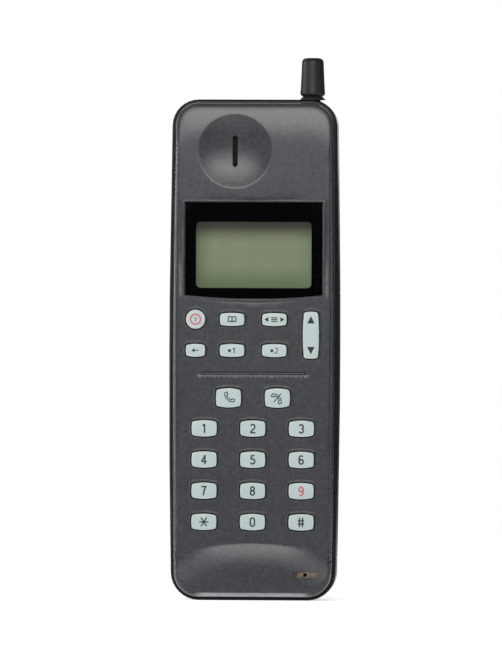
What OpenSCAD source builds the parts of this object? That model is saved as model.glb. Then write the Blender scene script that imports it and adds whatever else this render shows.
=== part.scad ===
// Handheld cellular telephone of the candy-bar kind, in millimetres.
// X runs to the right of someone who faces the keys, Z up, and the keys face -Y.
// The origin is under the middle of the body, on the surface that it stands on.

/* [Body] */
// Width of the rear shell at its middle
body_w = 57; // [55:0.5:69]
// Height of the body without the aerial
body_h = 168.2; // [166:0.1:202]
// Depth from the chin to the back
body_d = 27; // [26.5:0.5:33]
// How far each side draws in towards its ends
side_bow = 0.96; // [0.5:0.02:1.6]
// Corner radius at the top
corner_top = 8.9; // [7.5:0.1:11]
// Corner radius at the foot
corner_foot = 9.5; // [8.5:0.1:11]
// Radius of the long edges of the back
back_r = 5; // [3.5:0.1:6]
// Wall of the rear shell
shell_wall = 2; // [1.6:0.1:2.4]

/* [Front cover] */
// How far the front cover is inset from the rear shell
cover_inset = 1.3; // [0.8:0.1:1.6]
// Wall of the front cover
cover_wall = 1.8; // [1.5:0.1:2.1]
// Depth of the front cover's flank
cover_depth = 5.2; // [5:0.1:5.6]
// Edge radius of the front cover
edge_r = 1.8; // [1.2:0.1:2.2]
// Length of the face that rolls back at the top
roll_len = 13; // [9:0.5:16]
// How far the face rolls back at the top
roll_drop = 1.2; // [0.6:0.1:1.6]
// Height of the chin swell over the face
chin_h = 1.3; // [0.8:0.1:1.6]
// Radius of the crease above the chin
chin_r = 87; // [70:1:110]
// Height of the crease over the foot
chin_z = 19.2; // [17:0.2:20]
// Length over which the chin rises
chin_len = 10; // [7:0.5:12]
// Radius of the earpiece dish at the face
dish_r = 12.36; // [10:0.02:13]
// Depth of the earpiece dish
dish_depth = 2; // [1.4:0.1:2.2]
// Length of the earpiece slot
ear_slot_l = 10.5; // [7:0.1:12]
// Width of the earpiece slot
ear_slot_w = 1.7; // [1:0.1:2.4]

/* [Window] */
// Width of the display window
window_w = 46.2; // [42:0.1:47]
// Height of the display window at its sides
window_h = 31.2; // [29:0.1:33]
// How far the window's lower edge bows down
window_bow = 1.2; // [0.6:0.1:1.8]
// Width of the visible display
display_w = 38.8; // [34:0.1:39.4]
// Height of the visible display
display_h = 22.35; // [18:0.05:23]

/* [Keys] */
// Width of a digit key
digit_w = 8.4; // [7:0.1:10]
// Height of a digit key
digit_h = 5.5; // [4.6:0.1:6.6]
// Width of an upper key
func_w = 8.2; // [7:0.1:9.4]
// Height of an upper key
func_h = 4.4; // [4:0.1:5.2]
// Diameter of the power key
power_d = 6.4; // [5.4:0.1:6.8]
// Width of the scroll rocker
scroll_w = 5.4; // [4.6:0.1:6]
// Height of the scroll rocker
scroll_h = 15.75; // [13.5:0.05:16.5]
// Distance between the columns of digits
column_pitch = 16.3; // [13.5:0.1:17]
// Distance between the rows of digits
row_pitch = 10.45; // [9.4:0.05:10.6]
// How far a key stands over the face
key_rise = 0.75; // [0.4:0.05:1]
// Gap round a key in its opening
key_gap = 0.35; // [0.25:0.05:0.5]
// Travel of a key
key_travel = 0.6; // [0.4:0.05:0.8]

/* [Aerial] */
// Diameter of the finger cap
cap_d = 7.36; // [6.6:0.02:7.6]
// Diameter of the cap's lip
lip_d = 8.36; // [7.8:0.02:8.8]
// Height of the aerial over the body
cap_top = 14.1; // [11:0.1:18]
// Diameter of the pull-out whip
whip_d = 2.2; // [1.8:0.1:2.4]
// Travel of the whip
whip_travel = 95; // [60:1:96]

/* [Battery] */
// Thickness of the battery pack with its gap
pack_t = 12.4; // [12.2:0.1:13.2]
// Height of the ledge that the pack stands on
ledge_z = 14; // [13:0.1:15]
// Number of cells side by side
cell_count = 5; // [3:1:5]
// Diameter of a cell
cell_d = 10; // [9:0.1:10]
// Length of a cell
cell_l = 66; // [44:0.5:68]
// Travel of the latch
latch_travel = 2.5; // [1.8:0.1:2.8]

/* [Hidden] */
$fn = 64;

// Clearances and joining depths
fit = 0.1;
slip = 0.05;
bite = 0.4;
past = 1;

// Planes from the front to the back
chin_y = -body_d / 2;
face_y = chin_y + chin_h;
cover_in_y = face_y + cover_wall;
split_y = face_y + cover_depth;
tongue_y = split_y + 1.6;
tongue_in = cover_inset + cover_wall;
back_y = body_d / 2;
bay_y = back_y - pack_t;
bay_wall = 1.2;
bay_in_y = bay_y - bay_wall;
pack_y = bay_y + 0.2;

// Keys, rubber mat and main board, one behind the other
flange_y = cover_in_y + fit;
flange_t = 0.8;
flange_w = 0.9;
plunger_t = 0.3;
plunger_r = 1.7;
key_back_y = flange_y + flange_t + plunger_t;
dome_h = 1.15;
dome_r = 3;
mat_y = key_back_y + slip + dome_h;
mat_t = 0.8;
board_y = mat_y + mat_t + fit;
board_t = 1.2;
board_back_y = board_y + board_t;
board_inset = 3.9;
board_low = 5;
board_high = body_h - 30.2;

// Outline of the body
mid_z = body_h / 2;
side_r = (mid_z * mid_z + side_bow * side_bow) / (2 * side_bow);
side_c = side_r - body_w / 2;
corner_n = 8;
side_n = 8;

// Window and display, placed from the top
window_z = body_h - 34.6 - window_h / 2;
window_t = 1.1;
mask_t = 0.15;
window_back_y = face_y + 0.05 + window_t;
shelf_y = window_back_y + mask_t;
display_z = body_h - 41 - display_h / 2;
display_corner = 1.6;
lcd_w = display_w + 3.8;
lcd_h = display_h + 5.2;
lcd_back_y = flange_y + 2;

// Earpiece, placed from the top
dish_x = -6.4;
dish_z = body_h - 17.5;
dish_back_y = face_y + dish_depth + 1.4;
speaker_r = 9.2;
gasket_t = 0.8;

// Keys, placed from the foot
digit_z = 26.4;
call_x = 8.2;
call_z = digit_z + 3 * row_pitch + 10.25;
call_h = 6.5;
groove_z = call_z + 7.6;
groove_l = 36;
groove_w = 1.3;
groove_depth = 0.5;
func_x = 7.1;
edge_key_x = 19.35;
low_func_z = groove_z + 8.3;
high_func_z = low_func_z + 10.4;
scroll_z = (low_func_z + high_func_z) / 2;
scroll_axis_y = cover_in_y + 0.7;
pin_r = 0.6;
dome_rows = [for (row = [0:3], column = [-1:1]) [column * column_pitch, digit_z + row * row_pitch]];
dome_spots = concat(
    dome_rows,
    [[-call_x, call_z], [call_x, call_z], [-edge_key_x, high_func_z], [-edge_key_x, low_func_z]],
    [for (x = [-func_x, func_x], z = [low_func_z, high_func_z]) [x, z]],
    [for (side = [-1, 1]) [edge_key_x, scroll_z + side * scroll_h * 0.34]]
);
mat_w = 2 * (edge_key_x + 3.6);
mat_low = 20.4;
mat_high = high_func_z + 4.6;
led_x = column_pitch / 2;

// Voice slot at the lower right
voice_x = 17.7;
voice_z = 8.8;
voice_slot_l = 8.1;
voice_slot_w = 2.1;
voice_slot_depth = 0.7;
voice_hole_r = 0.65;
mic_r = 3;
boot_r = mic_r + 0.7;
chin_room_z = voice_z + boot_r + 0.3;

// Aerial
antenna_x = body_w / 2 - 9.3;
antenna_y = bay_in_y - 1.6;
bush_r = 2.9;
bush_low_z = body_h - 3.9;
cap_low_z = body_h + 1.25;
whip_stop_r = 1.45;
whip_low_z = bush_low_z - 0.3 - whip_travel;

// Radio board
rf_y = board_back_y + 4.3;
rf_t = 1;
rf_low = body_h - 60;
rf_high = body_h - 14;
rf_right = antenna_x - 3.8;

// Screws: x, z
screw_r = 1.05;
screw_head_r = 2.1;
screw_head_t = 1.25;
screw_head_y = bay_in_y - fit;
screw_tip_y = cover_in_y + 1;
mid_screw_x = body_w / 2 - 5.1;
low_screws = [for (side = [-1, 1]) [side * (body_w / 2 - 8.5), 17]];
mid_screws = [for (side = [-1, 1]) [side * mid_screw_x, groove_z]];
top_screws = [[-(body_w / 2 - 7), body_h - 8.2], [antenna_x - 8.7, body_h - 6.7]];
screws = concat(low_screws, mid_screws, top_screws);
boss_r = 2.4;
top_boss_r = screw_head_r + 1.2;

// Battery pack
pack_low_z = ledge_z + 0.3;
pack_high_z = body_h - 64.5;
pack_gap = 0.35;
pivot_r = 2;
pivot_y = back_y - pivot_r;
pivot_z = pack_low_z + pivot_r;
pack_tilt = 0.7;
pack_wall = 1.2;
pack_split_y = pack_y + 2.7;
tray_floor_y = pack_y + 0.8;
cell_y = tray_floor_y + 0.1 + cell_d / 2;
cell_z = pack_low_z + 5.7;
hook_x = 15;
hook_w = 7;
latch_w = 13.6;
latch_h = 6;
latch_z = pack_high_z - 7.4;
latch_in_y = back_y - pack_wall - 0.1;
tooth_y = latch_in_y - 1.2;
tooth_w = 8;
spring_r = 1.5;
spring_wire = 0.3;
spring_low_z = latch_z - latch_h / 2 - 1.5 - 4.6;
contact_z = pack_high_z - 6.7;
contact_pitch = 5;

// SIM
sim_w = 25;
sim_h = 15;
sim_t = 0.76;
sim_rail_w = 0.7;
sim_half = sim_w / 2 + 0.2 + sim_rail_w;
sim_y = bay_y - 1.25;
sim_z = groove_z - 24.6;
sim_travel = 12;
sim_low_z = sim_z - sim_travel - 0.5;
sim_floor_y = bay_y - 2;

// Sockets in the foot
jack_x = -14.5;
jack_y = board_back_y + 3.2;
jack_r = 1.75;
jack_l = 6.5;
jack_low_z = shell_wall + fit;
collar_r = 2.5;
socket_y = board_back_y + 2.2;
socket_w = 16;
socket_h = 3.2;
socket_low_z = tongue_in + fit;

// Points of an arc in the XZ plane
function arc(x, z, r, a0, a1, n) =
    [for (i = [0:n]) let (a = a0 + (a1 - a0) * i / n) [x + r * cos(a), z + r * sin(a)]];

// Middle of a corner arc that touches the bowed side and a level edge
function corner_x(r, z) = sqrt(pow(side_r - r, 2) - pow(z - mid_z, 2)) - side_c;

// Right half of the body's outline, from the foot to the top
function half_outline(inset, drop) =
    let (
        foot_z = corner_foot,
        foot_x = corner_x(corner_foot, foot_z),
        top_z = body_h - drop - corner_top,
        top_x = corner_x(corner_top, top_z),
        foot_a = atan2(foot_z - mid_z, foot_x + side_c),
        top_a = atan2(top_z - mid_z, top_x + side_c),
        step = (top_a - foot_a) / side_n
    )
    concat(
        arc(foot_x, foot_z, corner_foot - inset, -90, foot_a, corner_n),
        arc(-side_c, mid_z, side_r - inset, foot_a + step, top_a - step, side_n - 2),
        arc(top_x, top_z, corner_top - inset, top_a, 90, corner_n)
    );

// The body's outline, drawn in by inset all round and lowered at the top by drop
function outline(inset, drop = 0) =
    let (right = half_outline(inset, drop), last = len(right) - 1)
    concat(right, [for (i = [last:-1:0]) [-right[i][0], right[i][1]]]);

// A drawing's points set at a depth y
function ring(y, points) = [for (p = points) [p[0], y, p[1]]];

// How far a round edge of radius r draws in at a depth under its face
function edge_in(r, depth) = depth >= r ? 0 : r - sqrt(r * r - pow(r - depth, 2));

// The same at the top of the cover, where the face rolls back before the edge
roll_r = (roll_len * roll_len + roll_drop * roll_drop) / (2 * roll_drop);
edge_c = roll_r - sqrt(pow(roll_r - edge_r, 2) - pow(roll_len - edge_r, 2));
roll_end = roll_r * (1 - (roll_r - edge_c) / (roll_r - edge_r));
function top_in(depth) =
    depth < roll_end ? roll_len - sqrt(roll_r * roll_r - pow(roll_r - depth, 2))
    : depth < edge_c ? edge_r - sqrt(edge_r * edge_r - pow(edge_c - depth, 2))
    : 0;

// Depth of the rolled face at a height
function roll_at(z) =
    let (s = max(z - (body_h - cover_inset - roll_len), 0)) roll_r - sqrt(roll_r * roll_r - s * s);

// Depths of the cover's rings, closer together near the face
edge_n = 7;
edge_depths = [for (i = [0:edge_n]) edge_c * (1 - cos(90 * i / edge_n))];

// A pane with straight top and sides and a bowed lower edge, grown by g
function pane(g) =
    let (w = window_w / 2 + g, top = window_z + window_h / 2 + g, low = window_z - window_h / 2 - g, n = 10)
    concat([[w, top], [-w, top]],
        [for (i = [0:n]) let (t = 2 * i / n - 1) [w * t, low - window_bow * (1 - t * t)]]);

// A rectangle with rounded corners whose four edges bow out, drawn in by g
function cushion(w, h, bow_x, bow_z, r, g = 0) =
    let (
        a = w / 2 - bow_x - g,
        b = h / 2 - bow_z - g,
        c = max(r - g, 0.15),
        bows = [0.75, 1, 0.75],
        spots = [-0.5, 0, 0.5]
    )
    concat(
        arc(a - c, -b + c, c, -90, 0, 2),
        [for (i = [0:2]) [a + bow_x * bows[i], (b - c) * spots[i]]],
        arc(a - c, b - c, c, 0, 90, 2),
        [for (i = [0:2]) [-(a - c) * spots[i], b + bow_z * bows[i]]],
        arc(-a + c, b - c, c, 90, 180, 2),
        [for (i = [0:2]) [-a - bow_x * bows[i], -(b - c) * spots[i]]],
        arc(-a + c, -b + c, c, 180, 270, 2),
        [for (i = [0:2]) [(a - c) * spots[i], -b - bow_z * bows[i]]]
    );

// Skin through rings of equally many points, from the front one to the back one
module loft(rings) {
    n = len(rings[0]);
    last = (len(rings) - 1) * n;
    front = [for (i = [n - 1:-1:0]) i];
    back = [for (i = [0:n - 1]) last + i];
    sides = [
        for (k = [0:n:last - n], i = [0:n - 1])
            let (j = (i + 1) % n)
            each [[k + i, k + j, k + n + j], [k + i, k + n + j, k + n + i]]
    ];
    polyhedron(points = [for (r = rings) each r], faces = concat([front], sides, [back]));
}

// Tube of a given radius along points
module wire(path, r, sides) {
    last = len(path) - 1;
    rings = [
        for (i = [0:last])
            let (
                run = path[min(i + 1, last)] - path[max(i - 1, 0)],
                u = run / norm(run),
                v = cross(u, [0, 0, 1]) / norm(cross(u, [0, 0, 1])),
                w = cross(v, u)
            )
            [for (a = [0:360 / sides:359]) path[i] + r * (cos(a) * v + sin(a) * w)]
    ];
    loft(rings);
}

// A drawing in XZ made solid between two depths
module slab(y0, y1) {
    translate([0, y1, 0]) rotate([90, 0, 0]) linear_extrude(y1 - y0) children();
}

// A drawing in YZ made solid between two places along X
module across(x0, x1) {
    translate([x0, 0, 0]) rotate([90, 0, 90]) linear_extrude(x1 - x0) children();
}

// Round post along Y
module post(x, z, y0, y1, r) {
    translate([x, y1, z]) rotate([90, 0, 0]) cylinder(r = r, h = y1 - y0);
}

// Block between two corners
module block(x0, x1, y0, y1, z0, z1) {
    translate([x0, y0, z0]) cube([x1 - x0, y1 - y0, z1 - z0]);
}

// Rectangle about a middle in XZ
module plate(x, z, w, h) {
    translate([x - w / 2, z - h / 2]) square([w, h]);
}

// Slot with round ends in XZ, lying or standing
module slot(x, z, l, w, turn = 0) {
    translate([x, z]) rotate(turn) {
        plate(0, 0, l - w, w);
        for (side = [-1, 1]) translate([side * (l - w) / 2, 0]) circle(d = w);
    }
}

// Rear body as one solid, drawn in all round by wall
module rear_form(wall) {
    rim_r = 0.8;
    r = back_r - wall;
    rim = [for (a = [0:18:90]) ring(split_y + rim_r * (1 - cos(a)), outline(rim_r * (1 - sin(a))))];
    loft(concat(
        wall > 0 ? [ring(split_y - past, outline(wall))] : rim,
        [for (a = [0:15:90]) ring(back_y - back_r + r * sin(a), outline(wall + r * (1 - cos(a))))]
    ));
}

// Side view of the pack's room, grown by g at the top and inwards
module pack_profile(g) {
    polygon(concat(
        [
            [pack_y - g, pack_high_z - pack_tilt + g], [pack_y - g, pack_low_z + 0.4 - g],
            [pack_y + 0.4 - g, pack_low_z - g]
        ],
        arc(pivot_y, pivot_z, pivot_r, -90, 0, 6),
        [[back_y + past, pivot_z], [back_y + past, pack_high_z + g], [pivot_y, pack_high_z + g]]
    ));
}

// Outer form of the pack
module pack_form() {
    intersection() {
        rear_form(0);
        across(-body_w, body_w) pack_profile(0);
    }
}

// Room of the pack in the rear shell
module pack_bay() {
    block(-body_w, body_w, bay_y, back_y + past, ledge_z, pack_high_z - 5);
    across(-body_w, body_w)
        polygon([
            [bay_y, pack_high_z - 6], [bay_y, pack_high_z - pack_tilt + pack_gap],
            [pivot_y, pack_high_z + pack_gap], [back_y + past, pack_high_z + pack_gap],
            [back_y + past, pack_high_z - 6]
        ]);
}

// Front cover: the face with its round edge, and the chin that swells out of it
module cover_form() {
    loft(concat(
        [for (d = edge_depths)
            let (e = edge_in(edge_r, d)) ring(face_y + d, outline(cover_inset + e, top_in(d) - e))],
        [ring(split_y, outline(cover_inset))]
    ));
    intersection() {
        chin_form();
        chin_disc();
    }
}

// The body under the chin, with a fuller edge
module chin_form() {
    r = edge_r + chin_h;
    n = 6;
    loft(concat(
        [for (i = [0:n])
            let (d = r * (1 - cos(90 * i / n))) ring(chin_y + d, outline(cover_inset + edge_in(r, d)))],
        [ring(split_y - bite, outline(cover_inset))]
    ));
}

// Disc whose sloping rim gives the crease and the swell below it
module chin_disc() {
    slope = 2 * atan(chin_h / chin_len);
    rim_r = chin_len / sin(slope);
    low = -cover_depth + bite + past;
    run = 5;
    n = 8;
    swell = [
        for (i = [0:n])
            let (a = slope * (1 - i / n))
            [chin_r - chin_len + rim_r * sin(a), chin_h - rim_r * (1 - cos(a))]
    ];
    translate([0, face_y, chin_z - chin_r]) rotate([90, 0, 0])
        rotate_extrude($fn = 180)
            polygon(concat(
                [[0, low], [chin_r + run, low], [chin_r + run, -run * tan(slope)]],
                swell,
                [[0, chin_h]]
            ));
}

// Outline of each key shape
function digit_shape(g) = cushion(digit_w, digit_h, 0.12, 0.35, 0.8, g);
function call_shape(g) = cushion(digit_w, call_h, 0.12, 0.4, 0.9, g);
function func_shape(g) = cushion(func_w, func_h, 0.12, 0.3, 0.7, g);
function clear_shape(g) = cushion(power_d, func_h, 0.12, 0.3, 0.7, g);
function scroll_shape(g) = cushion(scroll_w, scroll_h, 0.3, 0.1, 0.9, g);

// Each opening: x, z and the outline of its key grown by g
function openings(g) = concat(
    [for (p = dome_rows) [p, digit_shape(-g)]],
    [for (side = [-1, 1]) [[side * call_x, call_z], call_shape(-g)]],
    [for (x = [-func_x, func_x], z = [low_func_z, high_func_z]) [[x, z], func_shape(-g)]],
    [[[-edge_key_x, low_func_z], clear_shape(-g)], [[edge_key_x, scroll_z], scroll_shape(-g)]]
);

module key_shapes(g) {
    for (o = openings(g)) translate(o[0]) polygon(o[1]);
    translate([-edge_key_x, high_func_z]) circle(r = power_d / 2 + g);
}

// Shallow bowl cut into the face, round as seen from the front, with its rim on the rolled face
module dish_cut() {
    n = 8;
    function bowl(share) = [
        for (p = arc(0, 0, dish_r * share, 0, 354, 59))
            [dish_x + p[0], face_y + roll_at(dish_z + p[1]) + dish_depth * (1 - share * share), dish_z + p[1]]
    ];
    loft(concat(
        [ring(face_y - past, arc(dish_x, dish_z, dish_r, 0, 354, 59))],
        [for (i = [n:-1:1]) bowl(i / n)]
    ));
}

module front_cover() {
    rim_h = 0.2;
    rim_w = 0.5;
    bezel_w = 0.9;
    color([0.30, 0.31, 0.32]) difference() {
        union() {
            cover_form();
            slab(split_y - bite, tongue_y) difference() {
                polygon(outline(shell_wall + fit));
                polygon(outline(tongue_in));
                boss_shapes(fit);
            }
            slab(face_y - rim_h, face_y + bite) difference() {
                key_shapes(key_gap + rim_w);
                key_shapes(key_gap);
            }
            slab(face_y - rim_h, face_y + bite) difference() {
                polygon(pane(bezel_w));
                polygon(pane(fit));
            }
        }
        difference() {
            union() {
                slab(cover_in_y, split_y + 2) intersection() {
                    polygon(outline(tongue_in));
                    plate(0, 0, body_w, 2 * (body_h - roll_len));
                }
                slab(cover_in_y + roll_drop - 0.2, split_y + 2) polygon(outline(tongue_in));
                slab(cover_in_y - chin_h, split_y) intersection() {
                    polygon(outline(tongue_in + 1));
                    plate(0, 0, body_w, 2 * chin_room_z);
                }
            }
            cover_inside();
        }
        dish_cut();
        slab(face_y - past, dish_back_y + past) slot(dish_x, dish_z, ear_slot_l, ear_slot_w, 90);
        slab(face_y - past, shelf_y) polygon(pane(fit));
        slab(face_y, cover_in_y + past) plate(0, display_z, display_w + 1.6, display_h + 1.6);
        slab(face_y - past, cover_in_y + past) key_shapes(key_gap);
        slab(face_y - past, face_y + groove_depth) slot(0, groove_z, groove_l, groove_w);
        slab(chin_y - past, chin_y + voice_slot_depth) slot(voice_x, voice_z, voice_slot_l, voice_slot_w);
        post(voice_x, voice_z, chin_y - past, cover_in_y + past, voice_hole_r);
        for (s = screws) post(s[0], s[1], screw_tip_y - bite, split_y + 3, screw_r + slip);
        translate([edge_key_x - 5, scroll_axis_y, scroll_z]) rotate([0, 90, 0])
            cylinder(r = pin_r + slip, h = 10);
    }
}

// Outlines of the screw bosses, grown by g
module boss_shapes(g) {
    for (s = concat(low_screws, mid_screws)) translate(s) circle(r = boss_r + g);
    for (s = top_screws) translate(s) circle(r = top_boss_r + g);
}

// Bosses, the dish's back and the rocker's saddles, which stand inside the front cover
module cover_inside() {
    for (s = concat(low_screws, mid_screws)) post(s[0], s[1], cover_in_y - bite, board_y - slip, boss_r);
    for (s = top_screws) post(s[0], s[1], cover_in_y - bite, split_y, boss_r);
    post(dish_x, dish_z, cover_in_y - bite, dish_back_y, dish_r + 1);
    for (side = [-1, 1])
        translate([edge_key_x + side * (scroll_w / 2 + 1.2), 0, scroll_z])
            block(-0.6, 0.6, cover_in_y - bite, scroll_axis_y + 0.9, -1.5, 1.5);
}

module display_window() {
    color([0.02, 0.02, 0.03, 0.5]) slab(face_y + 0.05, window_back_y) polygon(pane(0));
}

module window_mask() {
    color([0.01, 0.01, 0.01]) slab(window_back_y, shelf_y) difference() {
        polygon(pane(-fit));
        translate([0, display_z]) offset(r = display_corner, $fn = 32)
            square([display_w - 2 * display_corner, display_h - 2 * display_corner], center = true);
    }
}

module earpiece_screen() {
    color([0.35, 0.3, 0.24]) slab(dish_back_y, dish_back_y + 0.2)
        slot(dish_x, dish_z, ear_slot_l + 2, ear_slot_w + 3, 90);
}

module speaker_gasket() {
    color([0.12, 0.12, 0.12]) difference() {
        post(dish_x, dish_z, dish_back_y, dish_back_y + gasket_t, speaker_r + 0.2);
        post(dish_x, dish_z, dish_back_y - past, dish_back_y + past, speaker_r - 2.2);
    }
}

// Round capsule: a frame with its magnet pot behind
module earpiece_speaker() {
    r = speaker_r;
    color([0.55, 0.56, 0.58]) translate([dish_x, dish_back_y + gasket_t + slip, dish_z]) rotate([-90, 0, 0])
        rotate_extrude() polygon([
            [0, 0.5], [r - 2.8, 0.5], [r - 2, 0], [r, 0], [r, 1.2], [r - 1.6, 1.6], [r - 2.9, 1.6],
            [r - 2.9, 3], [r - 3.4, 3.3], [0, 3.3]
        ]);
}

module microphone() {
    color([0.7, 0.7, 0.68]) post(voice_x, voice_z, flange_y + 0.7, board_y - slip, mic_r);
}

module microphone_boot() {
    color([0.1, 0.1, 0.1]) difference() {
        post(voice_x, voice_z, cover_in_y - chin_h + slip, board_y - slip, boot_r);
        post(voice_x, voice_z, flange_y + 0.6, board_y + past, mic_r + slip);
        post(voice_x, voice_z, chin_y, flange_y + past, voice_hole_r);
    }
}

// Moulded key: crowned cap, retaining flange and the plunger that meets its dome
module moulded_key(x, z, shape0, shape1, shape2, flange) {
    front = face_y - key_rise;
    color([0.73, 0.78, 0.77]) translate([x, 0, z]) {
        loft([
            ring(front, shape2), ring(front + 0.2, shape1), ring(front + 0.5, shape0),
            ring(flange_y + bite, shape0)
        ]);
        slab(flange_y, flange_y + flange_t) polygon(flange);
        post(0, 0, flange_y + bite, key_back_y, plunger_r);
    }
}

module digit_key(column, row) {
    moulded_key(column * column_pitch, digit_z + (3 - row) * row_pitch,
        digit_shape(0), digit_shape(0.3), digit_shape(1.3), digit_shape(-flange_w));
}

module call_key(side) {
    moulded_key(side * call_x, call_z,
        call_shape(0), call_shape(0.3), call_shape(1.5), call_shape(-flange_w));
}

module func_key(x, z) {
    moulded_key(x, z, func_shape(0), func_shape(0.3), func_shape(1.1), func_shape(-flange_w));
}

module key_power() {
    front = face_y - key_rise;
    r = power_d / 2;
    color([0.75, 0.76, 0.77]) translate([-edge_key_x, key_back_y, high_func_z]) rotate([90, 0, 0])
        rotate_extrude() polygon([
            [0, 0], [plunger_r, 0], [plunger_r, plunger_t], [r + flange_w, plunger_t],
            [r + flange_w, plunger_t + flange_t], [r, plunger_t + flange_t],
            [r, key_back_y - front - 0.5], [r - 0.3, key_back_y - front - 0.2],
            [r - 1.3, key_back_y - front], [0, key_back_y - front]
        ]);
}

module key_clear() {
    moulded_key(-edge_key_x, low_func_z,
        clear_shape(0), clear_shape(0.3), clear_shape(1.1), clear_shape(-flange_w));
}

module key_memory() { func_key(-func_x, high_func_z); }
module key_menu() { func_key(func_x, high_func_z); }
module key_p1() { func_key(-func_x, low_func_z); }
module key_p2() { func_key(func_x, low_func_z); }
module key_call() { call_key(-1); }
module key_end() { call_key(1); }
module key_1() { digit_key(-1, 0); }
module key_2() { digit_key(0, 0); }
module key_3() { digit_key(1, 0); }
module key_4() { digit_key(-1, 1); }
module key_5() { digit_key(0, 1); }
module key_6() { digit_key(1, 1); }
module key_7() { digit_key(-1, 2); }
module key_8() { digit_key(0, 2); }
module key_9() { digit_key(1, 2); }
module key_star() { digit_key(-1, 3); }
module key_0() { digit_key(0, 3); }
module key_hash() { digit_key(1, 3); }

// Rocker on two trunnions, with a plunger at each end
module key_scroll() {
    front = face_y - key_rise;
    base = flange_y + flange_t;
    color([0.73, 0.78, 0.75]) translate([edge_key_x, 0, scroll_z]) {
        loft([
            ring(front, scroll_shape(1.3)), ring(front + 0.2, scroll_shape(0.3)),
            ring(front + 0.5, scroll_shape(0)), ring(base, scroll_shape(0))
        ]);
        translate([-scroll_w / 2 - 1.8, scroll_axis_y, 0]) rotate([0, 90, 0])
            cylinder(r = pin_r, h = scroll_w + 3.6);
        for (side = [-1, 1]) post(0, side * scroll_h * 0.34, base - bite, key_back_y, 1.6);
    }
}

// Rubber sheet with a hollow dome under each key
module keypad_mat() {
    color([0.72, 0.72, 0.66]) difference() {
        union() {
            slab(mat_y, mat_y + mat_t) polygon([
                for (p = cushion(mat_w, mat_high - mat_low, 0, 0, 3)) [p[0], p[1] + (mat_low + mat_high) / 2]
            ]);
            for (p = dome_spots)
                translate([p[0], mat_y + bite, p[1]]) rotate([90, 0, 0])
                    cylinder(r1 = dome_r, r2 = 2.1, h = dome_h + bite);
        }
        for (p = dome_spots)
            translate([p[0], mat_y + mat_t + past, p[1]]) rotate([90, 0, 0])
                cylinder(r1 = dome_r, r2 = 1.7, h = mat_t + past + dome_h - 0.6);
        for (s = concat(low_screws, mid_screws)) post(s[0], s[1], mat_y - past, board_y, boss_r + 0.3);
        led_shapes(0.4, mat_y - past, board_y);
    }
}

// Key lights between the rows, grown by g
module led_shapes(g, y0, y1) {
    rows = [for (row = [0:2]) digit_z + (row + 0.5) * row_pitch];
    for (x = [-led_x, led_x], z = concat(rows, [low_func_z + 5.2]))
        translate([x, 0, z]) block(-0.8 - g, 0.8 + g, y0, y1, -0.4 - g, 0.4 + g);
}

module key_leds() {
    color([0.85, 0.85, 0.6]) led_shapes(0, board_y - 0.7, board_y);
}

module main_board() {
    color([0.1, 0.35, 0.2]) slab(board_y, board_back_y) difference() {
        intersection() {
            polygon(outline(board_inset));
            translate([-body_w / 2, board_low]) square([body_w, board_high - board_low]);
        }
        for (s = screws) translate(s) circle(r = screw_r + 0.4);
    }
}

// Open can soldered over a board: a folded rim round a lid with cut corners
module shield_can(x0, x1, z0, z1, y0, y1) {
    wall = 0.3;
    cut = 1.5;
    difference() {
        slab(y0, y1) polygon([
            [x0 + cut, z0], [x1 - cut, z0], [x1, z0 + cut], [x1, z1 - cut],
            [x1 - cut, z1], [x0 + cut, z1], [x0, z1 - cut], [x0, z0 + cut]
        ]);
        block(x0 + cut, x1 - cut, y0 - past, y1 - wall, z0 + wall, z1 - wall);
        block(x0 + wall, x1 - wall, y0 - past, y1 - wall, z0 + cut, z1 - cut);
    }
}

module logic_shield() {
    left = -mid_screw_x + boss_r + 0.5;
    color([0.7, 0.71, 0.72])
        shield_can(left, antenna_x - 4.2, 30, contact_z - 5, board_back_y, board_back_y + 2.6);
}

module lcd_glass() {
    color([0.48, 0.52, 0.41]) slab(flange_y + 0.2, lcd_back_y) plate(0, display_z, lcd_w, lcd_h);
}

// Frame that holds the display glass on the board
module lcd_frame() {
    color([0.8, 0.8, 0.78]) difference() {
        slab(flange_y, board_y - slip) plate(0, display_z, lcd_w + 2, lcd_h + 2);
        slab(flange_y + 0.15, board_y + past) plate(0, display_z, lcd_w + 0.1, lcd_h + 0.1);
        slab(flange_y - past, board_y) plate(0, display_z, display_w + 1, display_h + 1);
    }
}

module lcd_light_guide() {
    color([0.75, 0.8, 0.6]) slab(lcd_back_y + slip, board_y - slip) plate(0, display_z, display_w, display_h);
}

module lcd_connectors() {
    color([0.2, 0.2, 0.2])
        for (side = [-1, 1])
            slab(lcd_back_y + slip, board_y - slip)
                plate(0, display_z + side * (display_h / 2 + 1.4), display_w, 1.6);
}

module rf_board() {
    color([0.1, 0.35, 0.2]) slab(rf_y, rf_y + rf_t)
        translate([-21, rf_low]) square([rf_right + 21, rf_high - rf_low]);
}

module rf_shield() {
    color([0.7, 0.71, 0.72])
        shield_can(-19.5, rf_right - 1.5, rf_low + 2, rf_high - 2, rf_y + rf_t, rf_y + rf_t + 6.5);
}

module board_connector() {
    color([0.85, 0.83, 0.75]) difference() {
        block(-20, -8, board_back_y, rf_y, rf_low + 2, rf_low + 6);
        block(-19, -9, board_back_y + 1.6, board_back_y + 2.6, rf_low + 1, rf_low + 3);
    }
}

module buzzer() {
    color([0.15, 0.15, 0.15]) translate([-12, board_back_y, rf_low + 16]) rotate([-90, 0, 0])
        rotate_extrude() polygon([[1, 0], [6, 0], [6, 3.2], [5.6, 3.6], [1, 3.6]]);
}

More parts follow.
